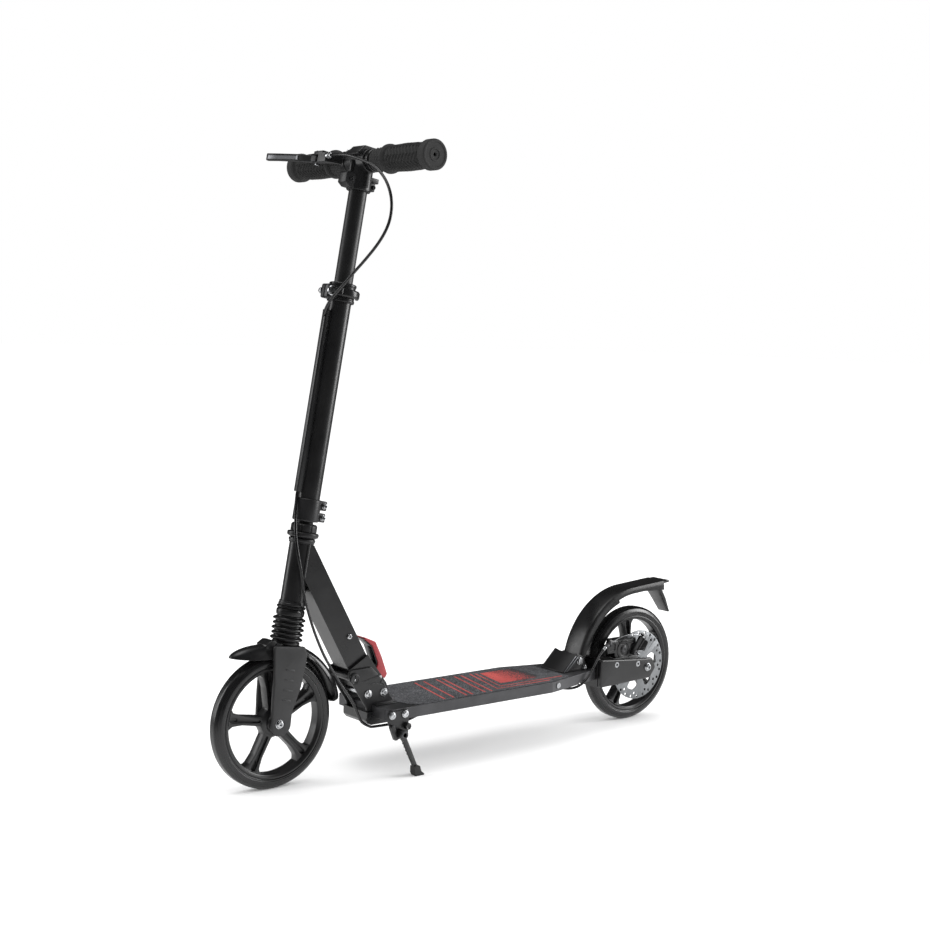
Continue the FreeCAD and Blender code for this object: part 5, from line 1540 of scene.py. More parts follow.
@dataclass
class Deck:
    """Printed stripes on the tape, the bracket's foot flanges and the deck's screws."""

    tape_top: float = 123.4
    print_high: float = 0.12
    line: float = 3.6

    def stripe(self, *points: tuple[float, float]) -> Shape:
        """A printed line along points (x, y) on the tape."""
        rail = []
        for i, (x, y) in enumerate(points):
            before = Vector(points[max(0, i - 1)])
            after = Vector(points[min(len(points) - 1, i + 1)])
            run = (after - before).normalized()
            side = Vector((-run.y, run.x)) * self.line / 2
            rail.append((Vector((x, y)) - side, Vector((x, y)) + side))
        outline = [tuple(a) for a, _ in rail] + [tuple(b) for _, b in reversed(rail)]
        return slab(outline, self.tape_top - 0.05, self.tape_top + self.print_high, Axis.Z)

    def stripes(self) -> Shape:
        """Slanted racing stripes across the tape, all leaning the same way."""
        lines = [self.stripe((x, -60), (x + 31, 68)) for x in (73, 52, 22, 8, -22, -38)]
        lines.append(self.stripe((-60, -60), (-27, 60), (-158, 61.5)))
        lines.append(self.stripe((-71, -57), (-45, 47.5), (-200, 48.5)))
        return joined(*lines)

    def panel(self) -> Shape:
        """The solid printed panel between the border lines."""
        outline = rounded([(-80, -54), (-61, 30), (-150, 31, 6), (-163, 20, 6), (-163, -52, 4)], 4)
        return slab(outline, self.tape_top - 0.05, self.tape_top + self.print_high, Axis.Z)

    def flanges(self) -> Shape:
        """Feet of the side plates, folded outward on the deck, each with a stiffening bead."""
        parts = []
        for side in (1, -1):
            for y0, y1, x0, x1, z0, z1 in ((31.6, 42.5, 192.5, 236.5, 122.7, 125.4),
                                           (35.0, 37.4, 195.5, 233.5, 125.0, 126.9)):
                low, high = sorted((side * y0, side * y1))
                parts.append(softened(block((x0, low, z0), (x1, high, z1)), 0.8, 3))
        return joined(*parts)

    def screws(self) -> Shape:
        """Countersunk rings with domed screws low on the deck's tapered sides."""
        parts = []
        for side in (1, -1):
            ring = turned(rounded([(3.4, 0), (6.4, 0, 0.3), (6.2, 0.9, 0.4), (3.4, 0.9)], 2),
                          steps=40)
            for shape in (pan_head(4.8, 3.4, 2.3), ring):
                parts.append(on_side(shape, -167, side * 71.4, 114))
        return joined(*parts)

    def build(self) -> None:
        """Make each piece and fix it to the deck."""
        fit_all([
            ("printed_stripes", self.stripes(), "deck", RED_INK, "grip_tape"),
            ("printed_panel", self.panel(), "deck", RED_FADE, "grip_tape"),
            ("plate_flanges", self.flanges(), "deck", CAST_BLACK, "black_steel"),
            ("deck_screws", self.screws(), "deck", BRIGHT_STEEL, "bright_steel"),
        ])


@dataclass
class Kickstand:
    """Bracket, screws, knuckle, ribbed leg and rubber foot of the side stand."""

    pin: tuple[float, float] = (215.0, 80.0)
    top: Point = (215.0, 88.5, 80.0)
    end: Point = (178.0, 84.0, 10.0)

    def bracket(self) -> Shape:
        """Pressed plate with a rear gusset and a stop for the leg."""
        outline = rounded([(195, 72, 5), (226, 68, 5), (240, 104, 4), (240, 120, 4),
                           (194, 120, 4)], 4)
        plate = softened(slab(outline, 78.05, 81), 0.8, 3)
        boss = rod((203, 80, 113), 8.2, 1.9, Axis.Y, 40)
        second = rod((231, 80, 113), 8.2, 1.9, Axis.Y, 40)
        stop = turned(rounded([(0, 80), (6.2, 80), (6.2, 88.2, 0.9), (4.8, 89, 0.6), (3, 88.2, 0.4),
                               (0, 88.2)], 3), Axis.Y, 40, (200, 0, 91.6))
        wing = slab(rounded([(221, 70.5, 2), (228, 70, 2), (239, 96, 4), (231, 99, 3)], 3), 80, 88)
        return combined(plate, Join.ADD, softened(boss, 0.4, 2), softened(second, 0.4, 2), stop,
                        softened(wing, 1.0, 3))

    def screws(self) -> Shape:
        """Two button-head screws with washers, and the pivot pin."""
        x, z = self.pin
        parts = []
        for at in (203.0, 231.0):
            parts.append(on_side(pan_head(5.4, 3.2, 2.6), at, 82.0, 113))
            parts.append(on_side(turned(rounded([(3, 0), (6.8, 0, 0.3), (6.8, 0.8, 0.3), (3, 0.8)],
                                                2), steps=40), at, 81.7, 113))
        parts.append(rod((x, 78, z), 3.9, 20, Axis.Y, 32))
        return joined(*parts)

    def knuckle(self) -> Shape:
        """Cap of the pivot with a raised rim."""
        x, z = self.pin
        profile = [(0, 95.9), (7.4, 95.9), (7.4, 97.6, 0.8), (6.2, 98.8, 0.6), (4.4, 98.8, 0.4),
                   (4.0, 98.0, 0.4), (0, 98.0)]
        return turned(rounded(profile, 3), Axis.Y, 48, (x, 0, z))

    def leg(self) -> Shape:
        """Hub and a leg of cross section, notched along its rear edge."""
        x, z = self.pin
        hub = turned(rounded([(4.0, 81.4), (8.2, 81.4, 1.2), (8.2, 95.6, 1.6), (4.0, 95.6)], 3),
                     Axis.Y, 56, (x, 0, z))
        away = Vector(self.end) - Vector(self.top)
        length = away.length
        outline = [(4.6, -2), (4.2, -length * 0.45), (3.0, -length), (-3.0, -length)]
        for i in range(5):
            low = -length * 0.62 + i * 8.0
            outline += [(-3.4, low), (-3.4, low + 4.6), (-4.9, low + 5.4), (-4.9, low + 7.4)]
        outline += [(-5.0, -6), (-4.6, -2)]
        bar = softened(slab(outline, -3.8, 3.8), 0.9, 2, 40)
        groove = [slab(rounded([(1.6, -14, 1), (1.6, -length + 12, 1), (-0.8, -length + 12, 1),
                                (-0.8, -14, 1)], 2), *ends) for ends in ((3.0, 6), (-6, -3.0))]
        bar = combined(bar, Join.CUT, *groove)
        turn = (-away).to_track_quat("Z", "Y").to_matrix().to_4x4()
        placed(bar, Matrix.Translation(self.top) @ turn)
        bar = combined(hub, Join.ADD, bar)
        return combined(bar, Join.CUT, rod((x, 70, z), 4.0, 40, Axis.Y, 32))

    def foot(self) -> Shape:
        """Rubber boot that flares into a flat sole."""
        x, y, _ = self.end
        outline = rounded([(x + 8.4, 18, 2), (x - 3.6, 18, 2), (x - 7, 8, 6), (x - 13, 3, 1.5),
                           (x - 13, 0.05, 1), (x + 5.5, 0.05, 2), (x + 8.6, 6, 4)], 4)
        return softened(slab(outline, y - 7, y + 7), 1.8, 3, 50)

    def build(self) -> None:
        """Make each piece and fix it to the deck or the stand."""
        pieces = [
            ("stand_bracket", self.bracket(), "deck", CAST_BLACK, "black_steel",
             "kickstand_bracket"),
            ("stand_screws", self.screws(), "deck", BRIGHT_STEEL, "bright_steel"),
            ("stand_knuckle", self.knuckle(), "deck", DECK_GREY, "deck_grey"),
            ("stand_leg", self.leg(), "stand", TUBE_BLACK, "cast_black", "kickstand_leg"),
            ("stand_boot", self.foot(), "stand", SOFT_RUBBER, "soft_rubber",
             "kickstand_foot"),
        ]
        fit_all(pieces)


# ------------------------------------------------------------------ rear fork, fender and brake
@dataclass
class Rear:
    """Rear arms, wedge, foot-brake fender and the cable disc brake."""

    arm_inner: float = 48.0
    arm_outer: float = 58.0
    fender_half: float = 23.0
    fender_radius: float = 157.0
    skirt: float = 11.0
    tail: float = 86.0
    fender_arc: tuple[float, float] = (17.4, 85.6)
    swing: tuple[float, float] = (-393.5, 147.5)

    def __post_init__(self) -> None:
        """Find the centre of the rear axle."""
        self.axle = middle("rear_axle")

    def arm(self, side: int) -> Shape:
        """One forged arm with two lug recesses; side is 1 for left and -1 for right."""
        outline = rounded([(-297.1, 88, 4), (-297.1, 144, 4), (-409, 134, 6), (-441, 133, 10),
                           (-452, 112, 8), (-436, 92, 8)], 5)
        shape = softened(slab(outline, self.arm_inner + 0.05, self.arm_outer), 3.4, 5, 50)
        lugs = [rod((x, self.arm_outer - 3.6, z), 6, 6, Axis.Y, 40)
                for x, z in ((-340.8, 129.4), (-400.2, 124.3))]
        bore = rod((self.axle.x, 40, self.axle.z), 6.1, 25, Axis.Y, 32)
        shape = combined(shape, Join.CUT, *lugs, bore)
        if side < 0:
            placed(shape, Matrix.Scale(-1, 4, (0, 1, 0)))
        return shape

    def lugs(self) -> Shape:
        """Ring screws at the bottom of the recesses."""
        parts = []
        for side in (1, -1):
            for x, z in ((-340.8, 129.4), (-400.2, 124.3)):
                ring = turned(rounded([(2.5, 0), (5.6, 0, 0.3), (5.3, 2.2, 0.8), (3.4, 2.4, 0.5),
                                       (2.5, 1.2)], 3), steps=40)
                parts.append(on_side(ring, x, side * (self.arm_outer - 3.7), z))
        return joined(*parts)

    def axle_bolt(self) -> Shape:
        """Axle with domed socket heads and stepped washers outside the arms."""
        x, z = self.axle.x, self.axle.z
        bar = rod((x, -self.arm_outer, z), 6, self.arm_outer * 2, Axis.Y, 40)
        parts = [bar]
        for side in (1, -1):
            washer = turned(rounded([(5, 0), (8, 0, 0.3), (8, 1.3, 0.5), (5, 1.3)], 3), steps=48)
            parts.append(on_side(washer, x, side * self.arm_outer, z))
            parts.append(on_side(pan_head(6.8, 4.6, 3.2), x, side * (self.arm_outer + 0.4), z))
        return joined(*parts)

    def wedge(self) -> Shape:
        """Pressed bracket: sloping front plate between two grooved triangular cheeks."""
        cheek = rounded([(-218, 122.7), (-255, 158, 3), (-270, 150, 4), (-286, 128.6, 3),
                         (-288, 122.7)], 4)
        groove = rounded([(-229, 127.2, 1), (-254, 151.5, 1), (-256.6, 149.2, 1),
                          (-231.8, 126.4, 1)], 2)
        inner = rounded([(-240, 127.5, 1), (-258, 144.5, 1), (-268, 142, 2), (-279, 127.5, 1)], 3)
        parts = []
        for side in (1, -1):
            shape = softened(slab(cheek, 29, 32), 0.7, 3, 50)
            cuts = [slab(groove, 31.2, 34), slab(inner, 31.4, 34)]
            shape = combined(shape, Join.CUT, *cuts)
            if side < 0:
                placed(shape, Matrix.Scale(-1, 4, (0, 1, 0)))
            parts.append(shape)
        plate = softened(slab([(-218, 122.7), (-253, 156), (-256, 154.5), (-222.5, 122.7)],
                              -29.4, 29.4), 1.0, 3, 50)
        foot = softened(block((-246, -29, 122.7), (-218.5, 29, 125.1)), 0.6, 2)
        return combined(plate, Join.ADD, *parts, foot)

    def wedge_bars(self) -> Shape:
        """Two bright edge strips let into the slope of each cheek."""
        parts = []
        for side in (1, -1):
            for off in (0.0, 6.4):
                strip = slab([(-220.6 - off, 124.2), (-251.4 - off, 153.6 - off * 0.3),
                              (-252.9 - off, 152.0 - off * 0.3), (-222.6 - off, 123.6)],
                             31.6, 32.7)
                softened(strip, 0.4, 2)
                if side < 0:
                    placed(strip, Matrix.Scale(-1, 4, (0, 1, 0)))
                parts.append(strip)
        return joined(*parts)

    def wedge_screws(self) -> Shape:
        """Hinge pin of the fender and the bracket's lower screws, in washers."""
        parts = [rod((-262, -32, 142), 3, 64, Axis.Y, 24)]
        for x, z, radius in ((-262, 142, 5.3), (-276, 128, 4.4)):
            for side in (1, -1):
                ring = turned(rounded([(2.4, 0), (radius + 1.5, 0, 0.2), (radius + 1.3, 0.8, 0.3),
                                       (2.4, 0.8)], 2), steps=40)
                parts.append(on_side(ring, x, side * 32.0, z))
                parts.append(on_side(pan_head(radius, 3.4, 2.2), x, side * 32.4, z))
        return joined(*parts)

    def path(self, share: float) -> tuple[Vector, Vector]:
        """A place on the fender's middle line and the way out from it, in x and z."""
        low, high = (math.radians(v) for v in self.fender_arc)
        arc, nose = (high - low) * self.fender_radius, 17.0
        run = share * (nose + arc + self.tail)
        if run < nose:
            out = Vector((math.cos(low), math.sin(low)))
            down = Vector((math.sin(low), -math.cos(low)))
            return self.round_at(low) + down * (nose - run), out
        if run < nose + arc:
            angle = low + (run - nose) / self.fender_radius
            return self.round_at(angle), Vector((math.cos(angle), math.sin(angle)))
        back = Vector((-math.sin(high), math.cos(high)))
        out = Vector((math.cos(high), math.sin(high)))
        return self.round_at(high) + back * (run - nose - arc), out

    def round_at(self, angle: float) -> Vector:
        """The point of the fender's arc at an angle, in x and z."""
        centre = Vector((self.axle.x, self.axle.z))
        return centre + Vector((math.cos(angle), math.sin(angle))) * self.fender_radius

    def fender(self) -> Shape:
        """Domed blade with skirts, an inner step, a hinge barrel and a squared end lip."""
        half, skirt = self.fender_half, self.skirt

        def shell(wide: float, lift: float, deep: float, first: float, last: float,
                  along: int) -> Shape:
            def spot(share: float, across: float) -> Vector:
                place, out = self.path(lerp(first, last, share))
                turn = across * 1.35
                if abs(turn) < 1:
                    y, drop = turn * (wide - 2.5), 0.9 * turn ** 2
                else:
                    bend = min(1.0, (abs(turn) - 1) / 0.12)
                    y = math.copysign(wide - 2.5 * (1 - math.sin(bend * math.pi / 2)), turn)
                    drop = 0.9 + 2.5 * (1 - math.cos(bend * math.pi / 2))
                    more = 7.0 * max(0.0, lerp(first, last, share) - 0.8) / 0.2
                    drop += max(0.0, (abs(turn) - 1.12) / 0.23) * (deep + more - 3.4)
                place = place + out * (lift - drop)
                return Vector((place.x, y, place.y))
            return skin(along, 36, spot, 2.6)

        outer = shell(half, -0.05, skirt, 0, 1, 90)
        inner = shell(half - 3.4, -3.2, skirt + 6.5, 0.06, 0.56, 60)
        end, out = self.path(1.0)
        back = Vector((-out.y, out.x))
        tip = [end - out * 0.2, end + back * 18 - out * 0.2, end + back * 19 - out * 2.4,
               end + back * 17.6 - out * 5.2, end - out * 5.2]
        lip = softened(slab([tuple(p) for p in tip], -half + 0.05, half - 0.05), 1.2, 3, 40)
        wall = [end + back * 0.4 - out * 2, end - out * 18.5, end - back * 2.4 - out * 18.5,
                end - back * 2.4 - out * 2]
        lip = joined(lip, softened(slab([tuple(p) for p in wall], -half + 0.6, half - 0.6), 0.8, 2))
        barrel = turned(rounded([(3.05, -28.2), (6.4, -28.2, 0.8), (6.4, 28.2, 0.8),
                                 (3.05, 28.2)], 3), Axis.Y, 40, (-262, 0, 142))
        foot, out = self.path(0.0)
        web = slab([(foot.x - 3, foot.y + 1), (foot.x - 3 * out.x - 1, foot.y + 4),
                    (-266, 146), (-259.5, 146.5)], -19, 19)
        return joined(outer, inner, lip, barrel, web)

    def flap(self) -> Shape:
        """Splash flap that hangs behind the wheel and narrows towards its foot."""
        outline = rounded([(-490, 262), (-501, 262, 2), (-516, 240, 12), (-531.6, 211.6, 1.5),
                           (-529.4, 209.4, 1.5), (-511, 236, 12), (-496, 256, 3)], 4)
        blade = slab(outline, -20, 20)
        for vert in blade.verts:
            vert.co.y *= lerp(0.72, 1.0, min(1.0, max(0.0, (vert.co.z - 210) / 46)))
        return softened(blade, 0.9, 2, 50)

    def rotor(self) -> Shape:
        """Disc with two rows of round holes, long windows and six countersunk screws."""
        x, z = self.axle.x, self.axle.z
        disc = turned(rounded([(15, 29.0), (70, 29.0, 0.3), (70, 30.8, 0.3), (15, 30.8)], 2),
                      Axis.Y, 144, (x, 0, z))
        cuts = []
        for i in range(24):
            for ring, shift in ((65.3, 0.0), (58.6, 7.5)):
                if i % 2 and ring < 60:
                    continue
                ahead, up = polar(ring, i * 15 + shift)
                cuts.append(rod((x + ahead, 25, z + up), 2.8, 9, Axis.Y, 16))
        for i in range(6):
            spin = Matrix.Rotation(math.radians(60 * i + 12), 4, "Y")
            turn = Matrix.Translation((x, 0, z)) @ spin
            window = slab(rounded([(28, -9, 3), (30, 9, 3), (51, 14, 4), (52, -4, 7), (42, -13, 6)],
                                  4), 25, 35)
            cuts.append(placed(window, turn))
        return combined(disc, Join.CUT, joined(*cuts))

    def rotor_screws(self) -> Shape:
        """Button screws round the hub of the rotor."""
        x, z = self.axle.x, self.axle.z
        heads = []
        for i in range(6):
            ahead, up = polar(20.5, 60 * i + 30)
            heads.append(on_side(pan_head(3.0, 1.9, 1.4), x + ahead, 30.7, z + up))
        return joined(*heads)

    def caliper(self) -> Shape:
        """Cast body with a finned actuator drum, mounting plate and cable stop."""
        body = softened(block((-405, 19.5, 138.5), (-345, 46, 176)), 3.2, 4)
        drum = turned(rounded([(0, 34), (22, 34, 1), (22, 41.5, 1.2), (20.6, 43.2, 0.8),
                               (20.6, 45, 0.8), (18.6, 47.4, 1), (13, 47.4, 1), (12, 45.6, 0.6),
                               (8.5, 45.6, 0.6), (8.2, 47.4, 0.6), (0, 47.4)], 3), Axis.Y, 72,
                      (-370, 0, 155))
        plate = softened(slab(rounded([(-412, 118, 3), (-334, 118, 3), (-338, 140, 3),
                                       (-408, 140, 3)], 3), 38, 47.7), 1.6, 3)
        stop = softened(slab(rounded([(-352, 150), (-326, 150, 3), (-322, 164, 3), (-330, 180, 3),
                                      (-352, 172)], 3), 38, 46), 1.5, 3)
        seat = rod((-351, 42, 172), 4.6, 20, Axis.X, 32)
        slot = block((-406, 28.4, 110), (-340, 31.4, 152))
        fins = [block((-402, 43.5, 166.5 + 3.2 * i), (-352, 50, 168.0 + 3.2 * i))
                for i in range(3)]
        relief = slab(rounded([(-346.5, 156, 2), (-331, 155, 2), (-328.5, 163, 2), (-333, 173, 2),
                               (-346.5, 169, 2)], 3), 44.6, 50)
        shape = combined(body, Join.ADD, drum, plate, stop, seat)
        pin = rod((self.swing[0], 43.9, self.swing[1]), 3.55, 20, Axis.Y, 24)
        return combined(shape, Join.CUT, slot, *fins, relief, pin)

    def caliper_fittings(self) -> Shape:
        """Knurled adjuster, pad screw, pinch screw and swing pin of the brake."""
        adjuster = turned(rounded([(2.7, 0), (4.4, 0, 0.4), (4.4, 8, 0.5), (3.4, 8.6, 0.4),
                                   (3.4, 11, 0.3), (5.2, 11.4, 0.4), (5.2, 15.4, 0.5),
                                   (2.7, 15.8)], 3), steps=40)
        groove = repeated(rod((5.0, 0, -1), 0.7, 9.4, sides=8), 12, Axis.Z)
        adjuster = combined(adjuster, Join.CUT, groove)
        away = Vector((-18.0, -1.0, 6.5))
        turn = away.to_track_quat("Z", "Y").to_matrix().to_4x4()
        placed(adjuster, Matrix.Translation((-317.4, 46.4, 165.9)) @ turn)
        pad = on_side(pan_head(6.4, 2.6, 3.4), -370, 45.4, 155)
        screw = on_side(pan_head(3.6, 2.4, 1.9), -404, 47.6, 128)
        other = on_side(pan_head(3.6, 2.4, 1.9), -344, 47.6, 128)
        pin = rod((self.swing[0], 44, self.swing[1]), 3.5, 11.4, Axis.Y, 32)
        head = on_side(pan_head(4.8, 2.6, 2.0), self.swing[0], 54.6, self.swing[1])
        return joined(adjuster, pad, screw, other, pin, head)

    def caliper_arm(self) -> Shape:
        """Pressed actuating arm, ribbed, with the cable's anchor screw at its end."""
        outline = rounded([(-400.5, 145, 5), (-392, 140.5, 5), (-386.5, 148, 5), (-389, 153, 6),
                           (-413, 184, 4), (-427, 181, 4), (-424, 171, 6)], 5)
        blade = softened(slab(outline, 48.1, 53), 1.1, 3, 50)
        rib = slab(rounded([(-398, 152.5, 1.5), (-418, 176, 1.5), (-421, 173.5, 1.5),
                            (-402, 150, 1.5)], 3), 51.6, 56)
        hole = rod((self.swing[0], 40, self.swing[1]), 3.55, 20, Axis.Y, 24)
        eye = rod((-418, 40, 178), 3.1, 20, Axis.Y, 24)
        return combined(blade, Join.CUT, rib, hole, eye)

    def anchor(self) -> Shape:
        """Anchor screw of the inner wire with its washer."""
        parts = [rod((-418, 46.2, 178), 3, 8, Axis.Y, 24),
                 on_side(pan_head(4.0, 2.6, 2.0), -418, 53.1, 178),
                 on_side(softened(rod((0, 0, 0), 4.4, 1.8, sides=6), 0.3, 2), -418, 53.0, 178)]
        return joined(*parts)

    def wire(self) -> Thing:
        """Bare inner wire from the adjuster over the body to the anchor."""
        return route("brake_inner_wire", [(-335, 45.3, 172.4), (-352, 46.5, 179.5),
                                          (-372, 48.5, 184.6), (-394, 50.6, 184.2),
                                          (-412, 51.8, 180.0), (-419, 52.2, 177.6)], 0.9)

    def build(self) -> None:
        """Make each piece and fix it to the deck, the wheel, the fender or the brake's arm; the inner wire is
        fixed to no body.
        """
        across = Axis.Y.turn()
        pieces = [
            ("rear_forged_arm_left", self.arm(1), "deck", TUBE_BLACK, "cast_black",
             "rear_arm_left"),
            ("rear_forged_arm_right", self.arm(-1), "deck", TUBE_BLACK, "cast_black",
             "rear_arm_right"),
            ("rear_lug_screws", self.lugs(), "deck", NYLON_BLACK, "black_steel"),
            ("rear_axle_bolt", self.axle_bolt(), "deck", BRIGHT_STEEL, "bright_steel",
             "rear_axle"),
            ("fender_wedge", self.wedge(), "deck", TUBE_BLACK, "black_steel",
             "fender_bracket"),
            ("wedge_strips", self.wedge_bars(), "deck", LEVER_GREY, "deck_grey"),
            ("wedge_screws", self.wedge_screws(), "deck", BRIGHT_STEEL, "bright_steel"),
            ("foot_brake_fender", self.fender(), "foot_brake", FENDER_BLACK, "moulded_black",
             "rear_fender"),
            ("splash_flap", self.flap(), "foot_brake", NYLON_BLACK, "moulded_black"),
            ("rotor_screws", self.rotor_screws(), "rear_wheel", BRIGHT_STEEL, "bright_steel"),
            ("caliper_casting", self.caliper(), "deck", NYLON_BLACK, "cast_black",
             "brake_caliper"),
            ("caliper_fittings", self.caliper_fittings(), "deck", DECK_GREY, "deck_grey"),
            ("caliper_swing_arm", self.caliper_arm(), "caliper_lever", BLACK_STEEL,
             "black_steel", "caliper_arm"),
            ("wire_anchor", self.anchor(), "caliper_lever", BRIGHT_STEEL, "bright_steel"),
        ]
        fit_all(pieces)
        disc = dress(stand("drilled_rotor", self.rotor()),
                     ROTOR_STEEL.material(tuple(self.axle), across))
        fitted(disc, "rear_wheel", "rotor_steel", "disc_rotor")
        wire = dress(self.wire(), BRIGHT_STEEL.material())
        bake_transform(wire)


# ------------------------------------------------------------------ brake cable
def steer(ahead: float, y: float, up: float) -> Point:
    """A point given ahead of, beside and up along the steering axis, as a world point."""
    return tuple(STEERING @ Vector((ahead, y, up)))


@dataclass
class Cable:
    """The brake cable in five runs, with a ferrule at the caliper end."""

    radius: float = 2.5
    loop: tuple[Point, ...] = (
        steer(41, -35.9, 966.7), (300, -12, 1075), (299, 18, 1071), (299, 52, 1062),
        (300, 93, 1049), (302, 124, 1027), (305, 144, 1002), (308, 152, 976), (312, 149, 950),
        (317, 133, 924), (323, 107, 898), (330, 79, 873), (336, 57, 852), (340, 38, 836),
        (342, 19, 817), (340, 6, 797), steer(25.4, 0, 711.1), steer(25.4, 0, 702.9))
    stem: tuple[Point, ...] = (
        steer(25.4, 0, 400), steer(25.4, 0, 377), (390, 9, 462), (396, 19, 431), (394.5, 26, 398),
        (387.5, 27.5, 366), (383, 26, 339))
    front: tuple[Point, ...] = (
        (383, 26, 338.7), (379, 27, 318), (372, 28, 296), (364, 29, 272), (354, 30, 248),
        (341, 30, 222), (325, 30, 197), (308, 29, 172), (290, 28, 150), (275, 27, 129),
        (265, 27, 109), (257, 28, 91), (238, 30, 83.5))
    deck: tuple[Point, ...] = (
        (237, 30, 83.5), (214, 33, 83.5), (186, 38, 85), (160, 44, 90), (134, 49, 103.5),
        (106, 51, 106.5), (46, 51.5, 106.5), (-14, 50.5, 106.5), (-74, 51.5, 106.5),
        (-134, 50.5, 106.5), (-180, 52, 105.5), (-212, 55, 97), (-236, 58, 99), (-256, 58, 109),
        (-272, 56, 124), (-288, 52.5, 142), (-303, 49, 156), (-319, 46.5, 166.5))

    def ferrule(self, start: Point, end: Point) -> Shape:
        """A crimped end sleeve between two points of the line."""
        away = Vector(end) - Vector(start)
        profile = [(2.55, 0), (3.5, 0, 0.4), (3.5, 5, 0.5), (3.1, 6, 0.4), (3.1, 10, 0.4),
                   (2.55, 10.5)]
        shape = turned(rounded(profile, 3), steps=32)
        turn = away.to_track_quat("Z", "Y").to_matrix().to_4x4()
        return placed(shape, Matrix.Translation(start) @ turn)

    def build(self) -> None:
        """Draw each length of cable; the duct run is fixed to the column, the deck run and the end sleeve to the
        deck, and the other runs to no body.
        """
        finish = CABLE_BLACK.material()
        # the last number is the point where the run starts to leave its first body
        runs = [("cable_run_loop", self.loop, "handlebar", "column", "cable_loop", 0),
                ("cable_run_stem", self.stem, "column", "front_frame", None, 0),
                ("cable_run_front", self.front, "front_frame", "deck", "cable_front", 6)]
        for name, points, first, last, node, leaves in runs:
            cord = dress(route(name, points, self.radius), finish)
            start, end = (tuple(Vector(p) * MM for p in (points[leaves], points[-1])))
            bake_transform(cord)
            if node:
                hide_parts(node)
        hidden = [steer(25.4, 0, s) for s in (702.6, 600, 500, 400)]
        inner = dress(route("cable_run_duct", hidden, self.radius), finish)
        fitted(inner, "column", "cable_black", "cable_stem")
        rear = dress(route("cable_run_deck", self.deck, self.radius), finish)
        fitted(rear, "deck", "cable_black", "cable_deck")
        sleeve = dress(stand("cable_end_sleeve", self.ferrule(self.deck[-1], self.deck[-2])),
                       BRIGHT_STEEL.material())
        fitted(sleeve, "deck", "bright_steel")


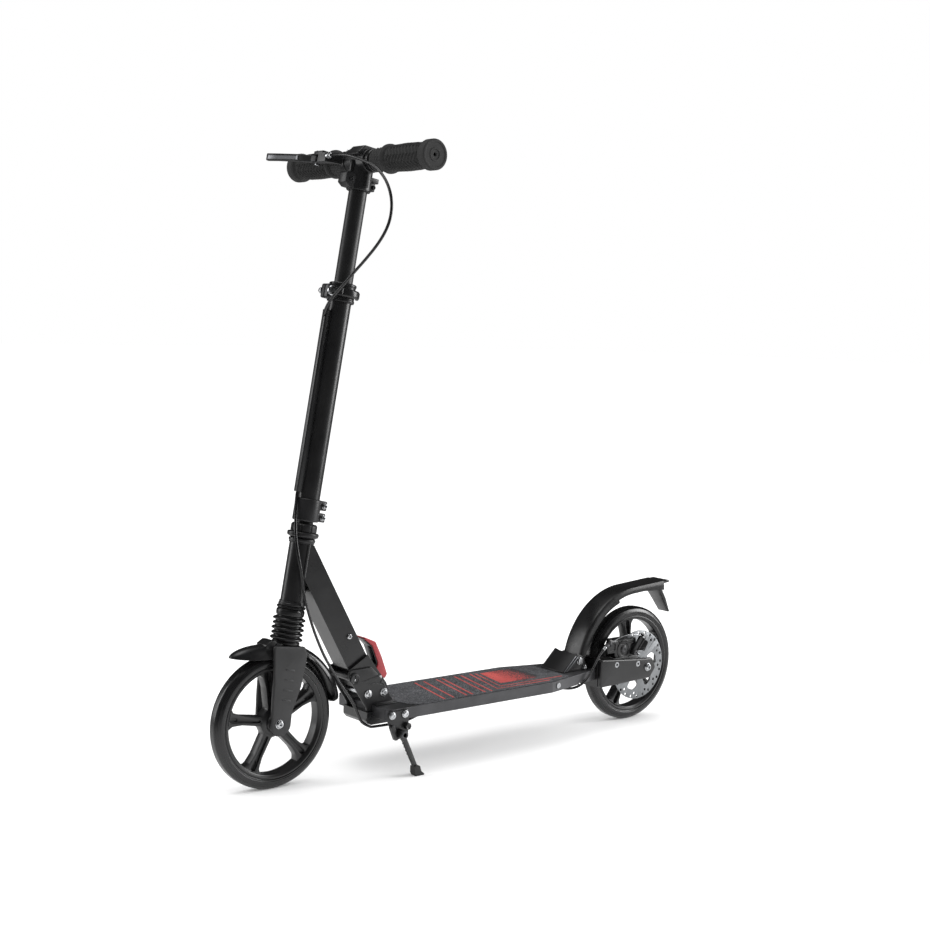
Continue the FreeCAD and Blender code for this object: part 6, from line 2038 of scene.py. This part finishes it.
# ------------------------------------------------------------------ studio
@dataclass
class Studio:
    """White studio: a pale floor, a white surround, soft lights and the camera."""

    floor_half: float = 30.0
    lens: float = 61.0
    azimuth: float = 140.4
    elevation: float = 5.3
    roll: float = 1.5
    camera_at: Point = (1.85194, 2.22045, 0.80228)

    def floor(self) -> None:
        """A plain matt floor, faintly mottled like seamless paper."""
        shape = bmesh.new()
        bmesh.ops.create_grid(shape, x_segments=8, y_segments=8, size=self.floor_half / MM)
        ground = stand("floor", shape)
        made = bpy.data.materials.new("seamless_paper")
        made.use_nodes = True
        tree = made.node_tree
        tree.nodes.clear()
        place = add_node(tree, "TexCoord").outputs["Object"]
        mottle = add_node(tree, "TexNoise", {"Vector": place, "Scale": 3.0, "Detail": 2.0})
        tone = add_node(tree, "Mix", {0: mottle.outputs[0], 6: linear("#f6f6f6"),
                                      7: linear("#fbfbfb")}, data_type="RGBA").outputs[2]
        # reflections see a lit sweep about 2 m wide that falls away into the dark studio
        away = add_node(tree, "VectorMath", {0: place}, operation="LENGTH").outputs["Value"]
        fall = add_node(tree, "MapRange", {"Value": away, "From Min": 0.5, "From Max": 1.7,
                                           "To Min": 0.0, "To Max": 0.88}).outputs[0]
        ray = add_node(tree, "LightPath").outputs["Is Glossy Ray"]
        dim = add_node(tree, "Math", {0: fall, 1: ray}, operation="MULTIPLY").outputs[0]
        seen = add_node(tree, "Mix", {0: dim, 6: tone, 7: linear("#000000")},
                        data_type="RGBA").outputs[2]
        shader = add_node(tree, "BsdfDiffuse", {"Color": seen, "Roughness": 0.0})
        add_node(tree, "OutputMaterial", {"Surface": shader.outputs[0]})
        dress(ground, made)

    def surround(self) -> None:
        """White all round, but dimmer in reflections so that black parts stay black."""
        world = bpy.data.worlds.new("surround")
        world.use_nodes = True
        tree = world.node_tree
        tree.nodes.clear()
        ray = add_node(tree, "LightPath")
        strength = add_node(tree, "MapRange", {"Value": ray.outputs["Is Glossy Ray"],
                                               "To Min": 1.0, "To Max": 0.05})
        white = add_node(tree, "Background", {"Color": (1, 1, 1, 1),
                                              "Strength": strength.outputs[0]})
        add_node(tree, "OutputWorld", {"Surface": white.outputs[0]})
        bpy.context.scene.world = world

    def softbox(self, name: str, at: Point, towards: Point, size: tuple[float, float],
                power: float) -> None:
        """A large rectangular soft light.

        Args:
            name: the light's name.
            at: where it stands, in metres.
            towards: the point it faces.
            size: its width and height in metres.
            power: its power in watts.
        """
        light = bpy.data.lights.new(name, "AREA")
        light.shape = "RECTANGLE"
        light.size, light.size_y = size
        light.energy = power
        lamp = bpy.data.objects.new(name, light)
        lamp.location = at
        lamp.rotation_euler = (Vector(towards) - Vector(at)).to_track_quat("-Z", "Y").to_euler()
        bpy.context.scene.collection.objects.link(lamp)

    def lights(self) -> None:
        """Softboxes that draw long highlights on the tubes, and a wide sun for the floor."""
        self.softbox("left_box", (3.6, -3.4, 1.6), (0.1, 0, 0.6), (1.5, 3.6), 72)
        self.softbox("right_box", (-4.45, 2.45, 1.6), (0, 0, 0.6), (2.1, 3.8), 250)
        self.softbox("top_box", (0.6, -0.4, 3.6), (0, 0, 0.3), (2.0, 1.4), 24)
        light = bpy.data.lights.new("wide_sun", "SUN")
        light.energy = 0.5
        light.angle = math.radians(60)
        lamp = bpy.data.objects.new("wide_sun", light)
        lamp.rotation_euler = (math.radians(8), math.radians(6), 0)
        bpy.context.scene.collection.objects.link(lamp)

    def camera(self) -> None:
        """The camera, a little above deck height, in front and to the rider's left."""
        a, e, r = (math.radians(v) for v in (self.azimuth, self.elevation, self.roll))
        back = Vector((math.sin(a) * math.cos(e), -math.cos(a) * math.cos(e), math.sin(e)))
        right = Vector((0, 0, 1)).cross(back).normalized()
        up = back.cross(right)
        turn = Matrix((right * math.cos(r) + up * math.sin(r),
                       up * math.cos(r) - right * math.sin(r), back)).transposed()
        data = bpy.data.cameras.new("camera")
        data.lens, data.sensor_width = self.lens, 36.0
        data.clip_end = 100
        eye = bpy.data.objects.new("camera", data)
        eye.matrix_world = Matrix.Translation(self.camera_at) @ turn.to_4x4()
        bpy.context.scene.collection.objects.link(eye)
        bpy.context.scene.camera = eye

    def build(self) -> None:
        """Set up floor, surround, lights and camera."""
        self.floor()
        self.surround()
        self.lights()
        self.camera()
        bpy.context.scene.view_settings.view_transform = "Standard"


# ------------------------------------------------------------------ parts that keep their shape
def dress_model() -> None:
    """Give every CAD part that still shows the finish of its slot."""
    turned_about = {"front_tyre": "front_axle", "front_rim": "front_axle",
                    "rear_tyre": "rear_axle", "rear_rim": "rear_axle", "disc_rotor": "rear_axle"}
    across = Axis.Y.turn()
    for entry in frame["record"]["subparts"]:
        name, finish = entry["node"], Wears[entry["material_slot"]].value
        if name == "upper_tube":
            finish = SATIN_BLACK
        if name in turned_about:
            dress(frame["nodes"][name], finish.material(middle(turned_about[name]), across))
        else:
            dress(frame["nodes"][name], finish.material())
        log.info("%s wears %s", name, finish.name)


def main() -> None:
    """Build the studio and each sub-assembly in order."""
    logging.basicConfig(level=logging.INFO, format="%(message)s")
    Studio().build()
    dress_model()
    Wheel("front", "front_wheel").build()
    Wheel("rear", "rear_wheel", rotor_boss=29.0).build()
    Fork().build()
    Column().build()
    Handlebar().build()
    FoldBracket().build()
    Deck().build()
    Kickstand().build()
    Rear().build()
    Cable().build()


if __name__ == "__main__":
    main()
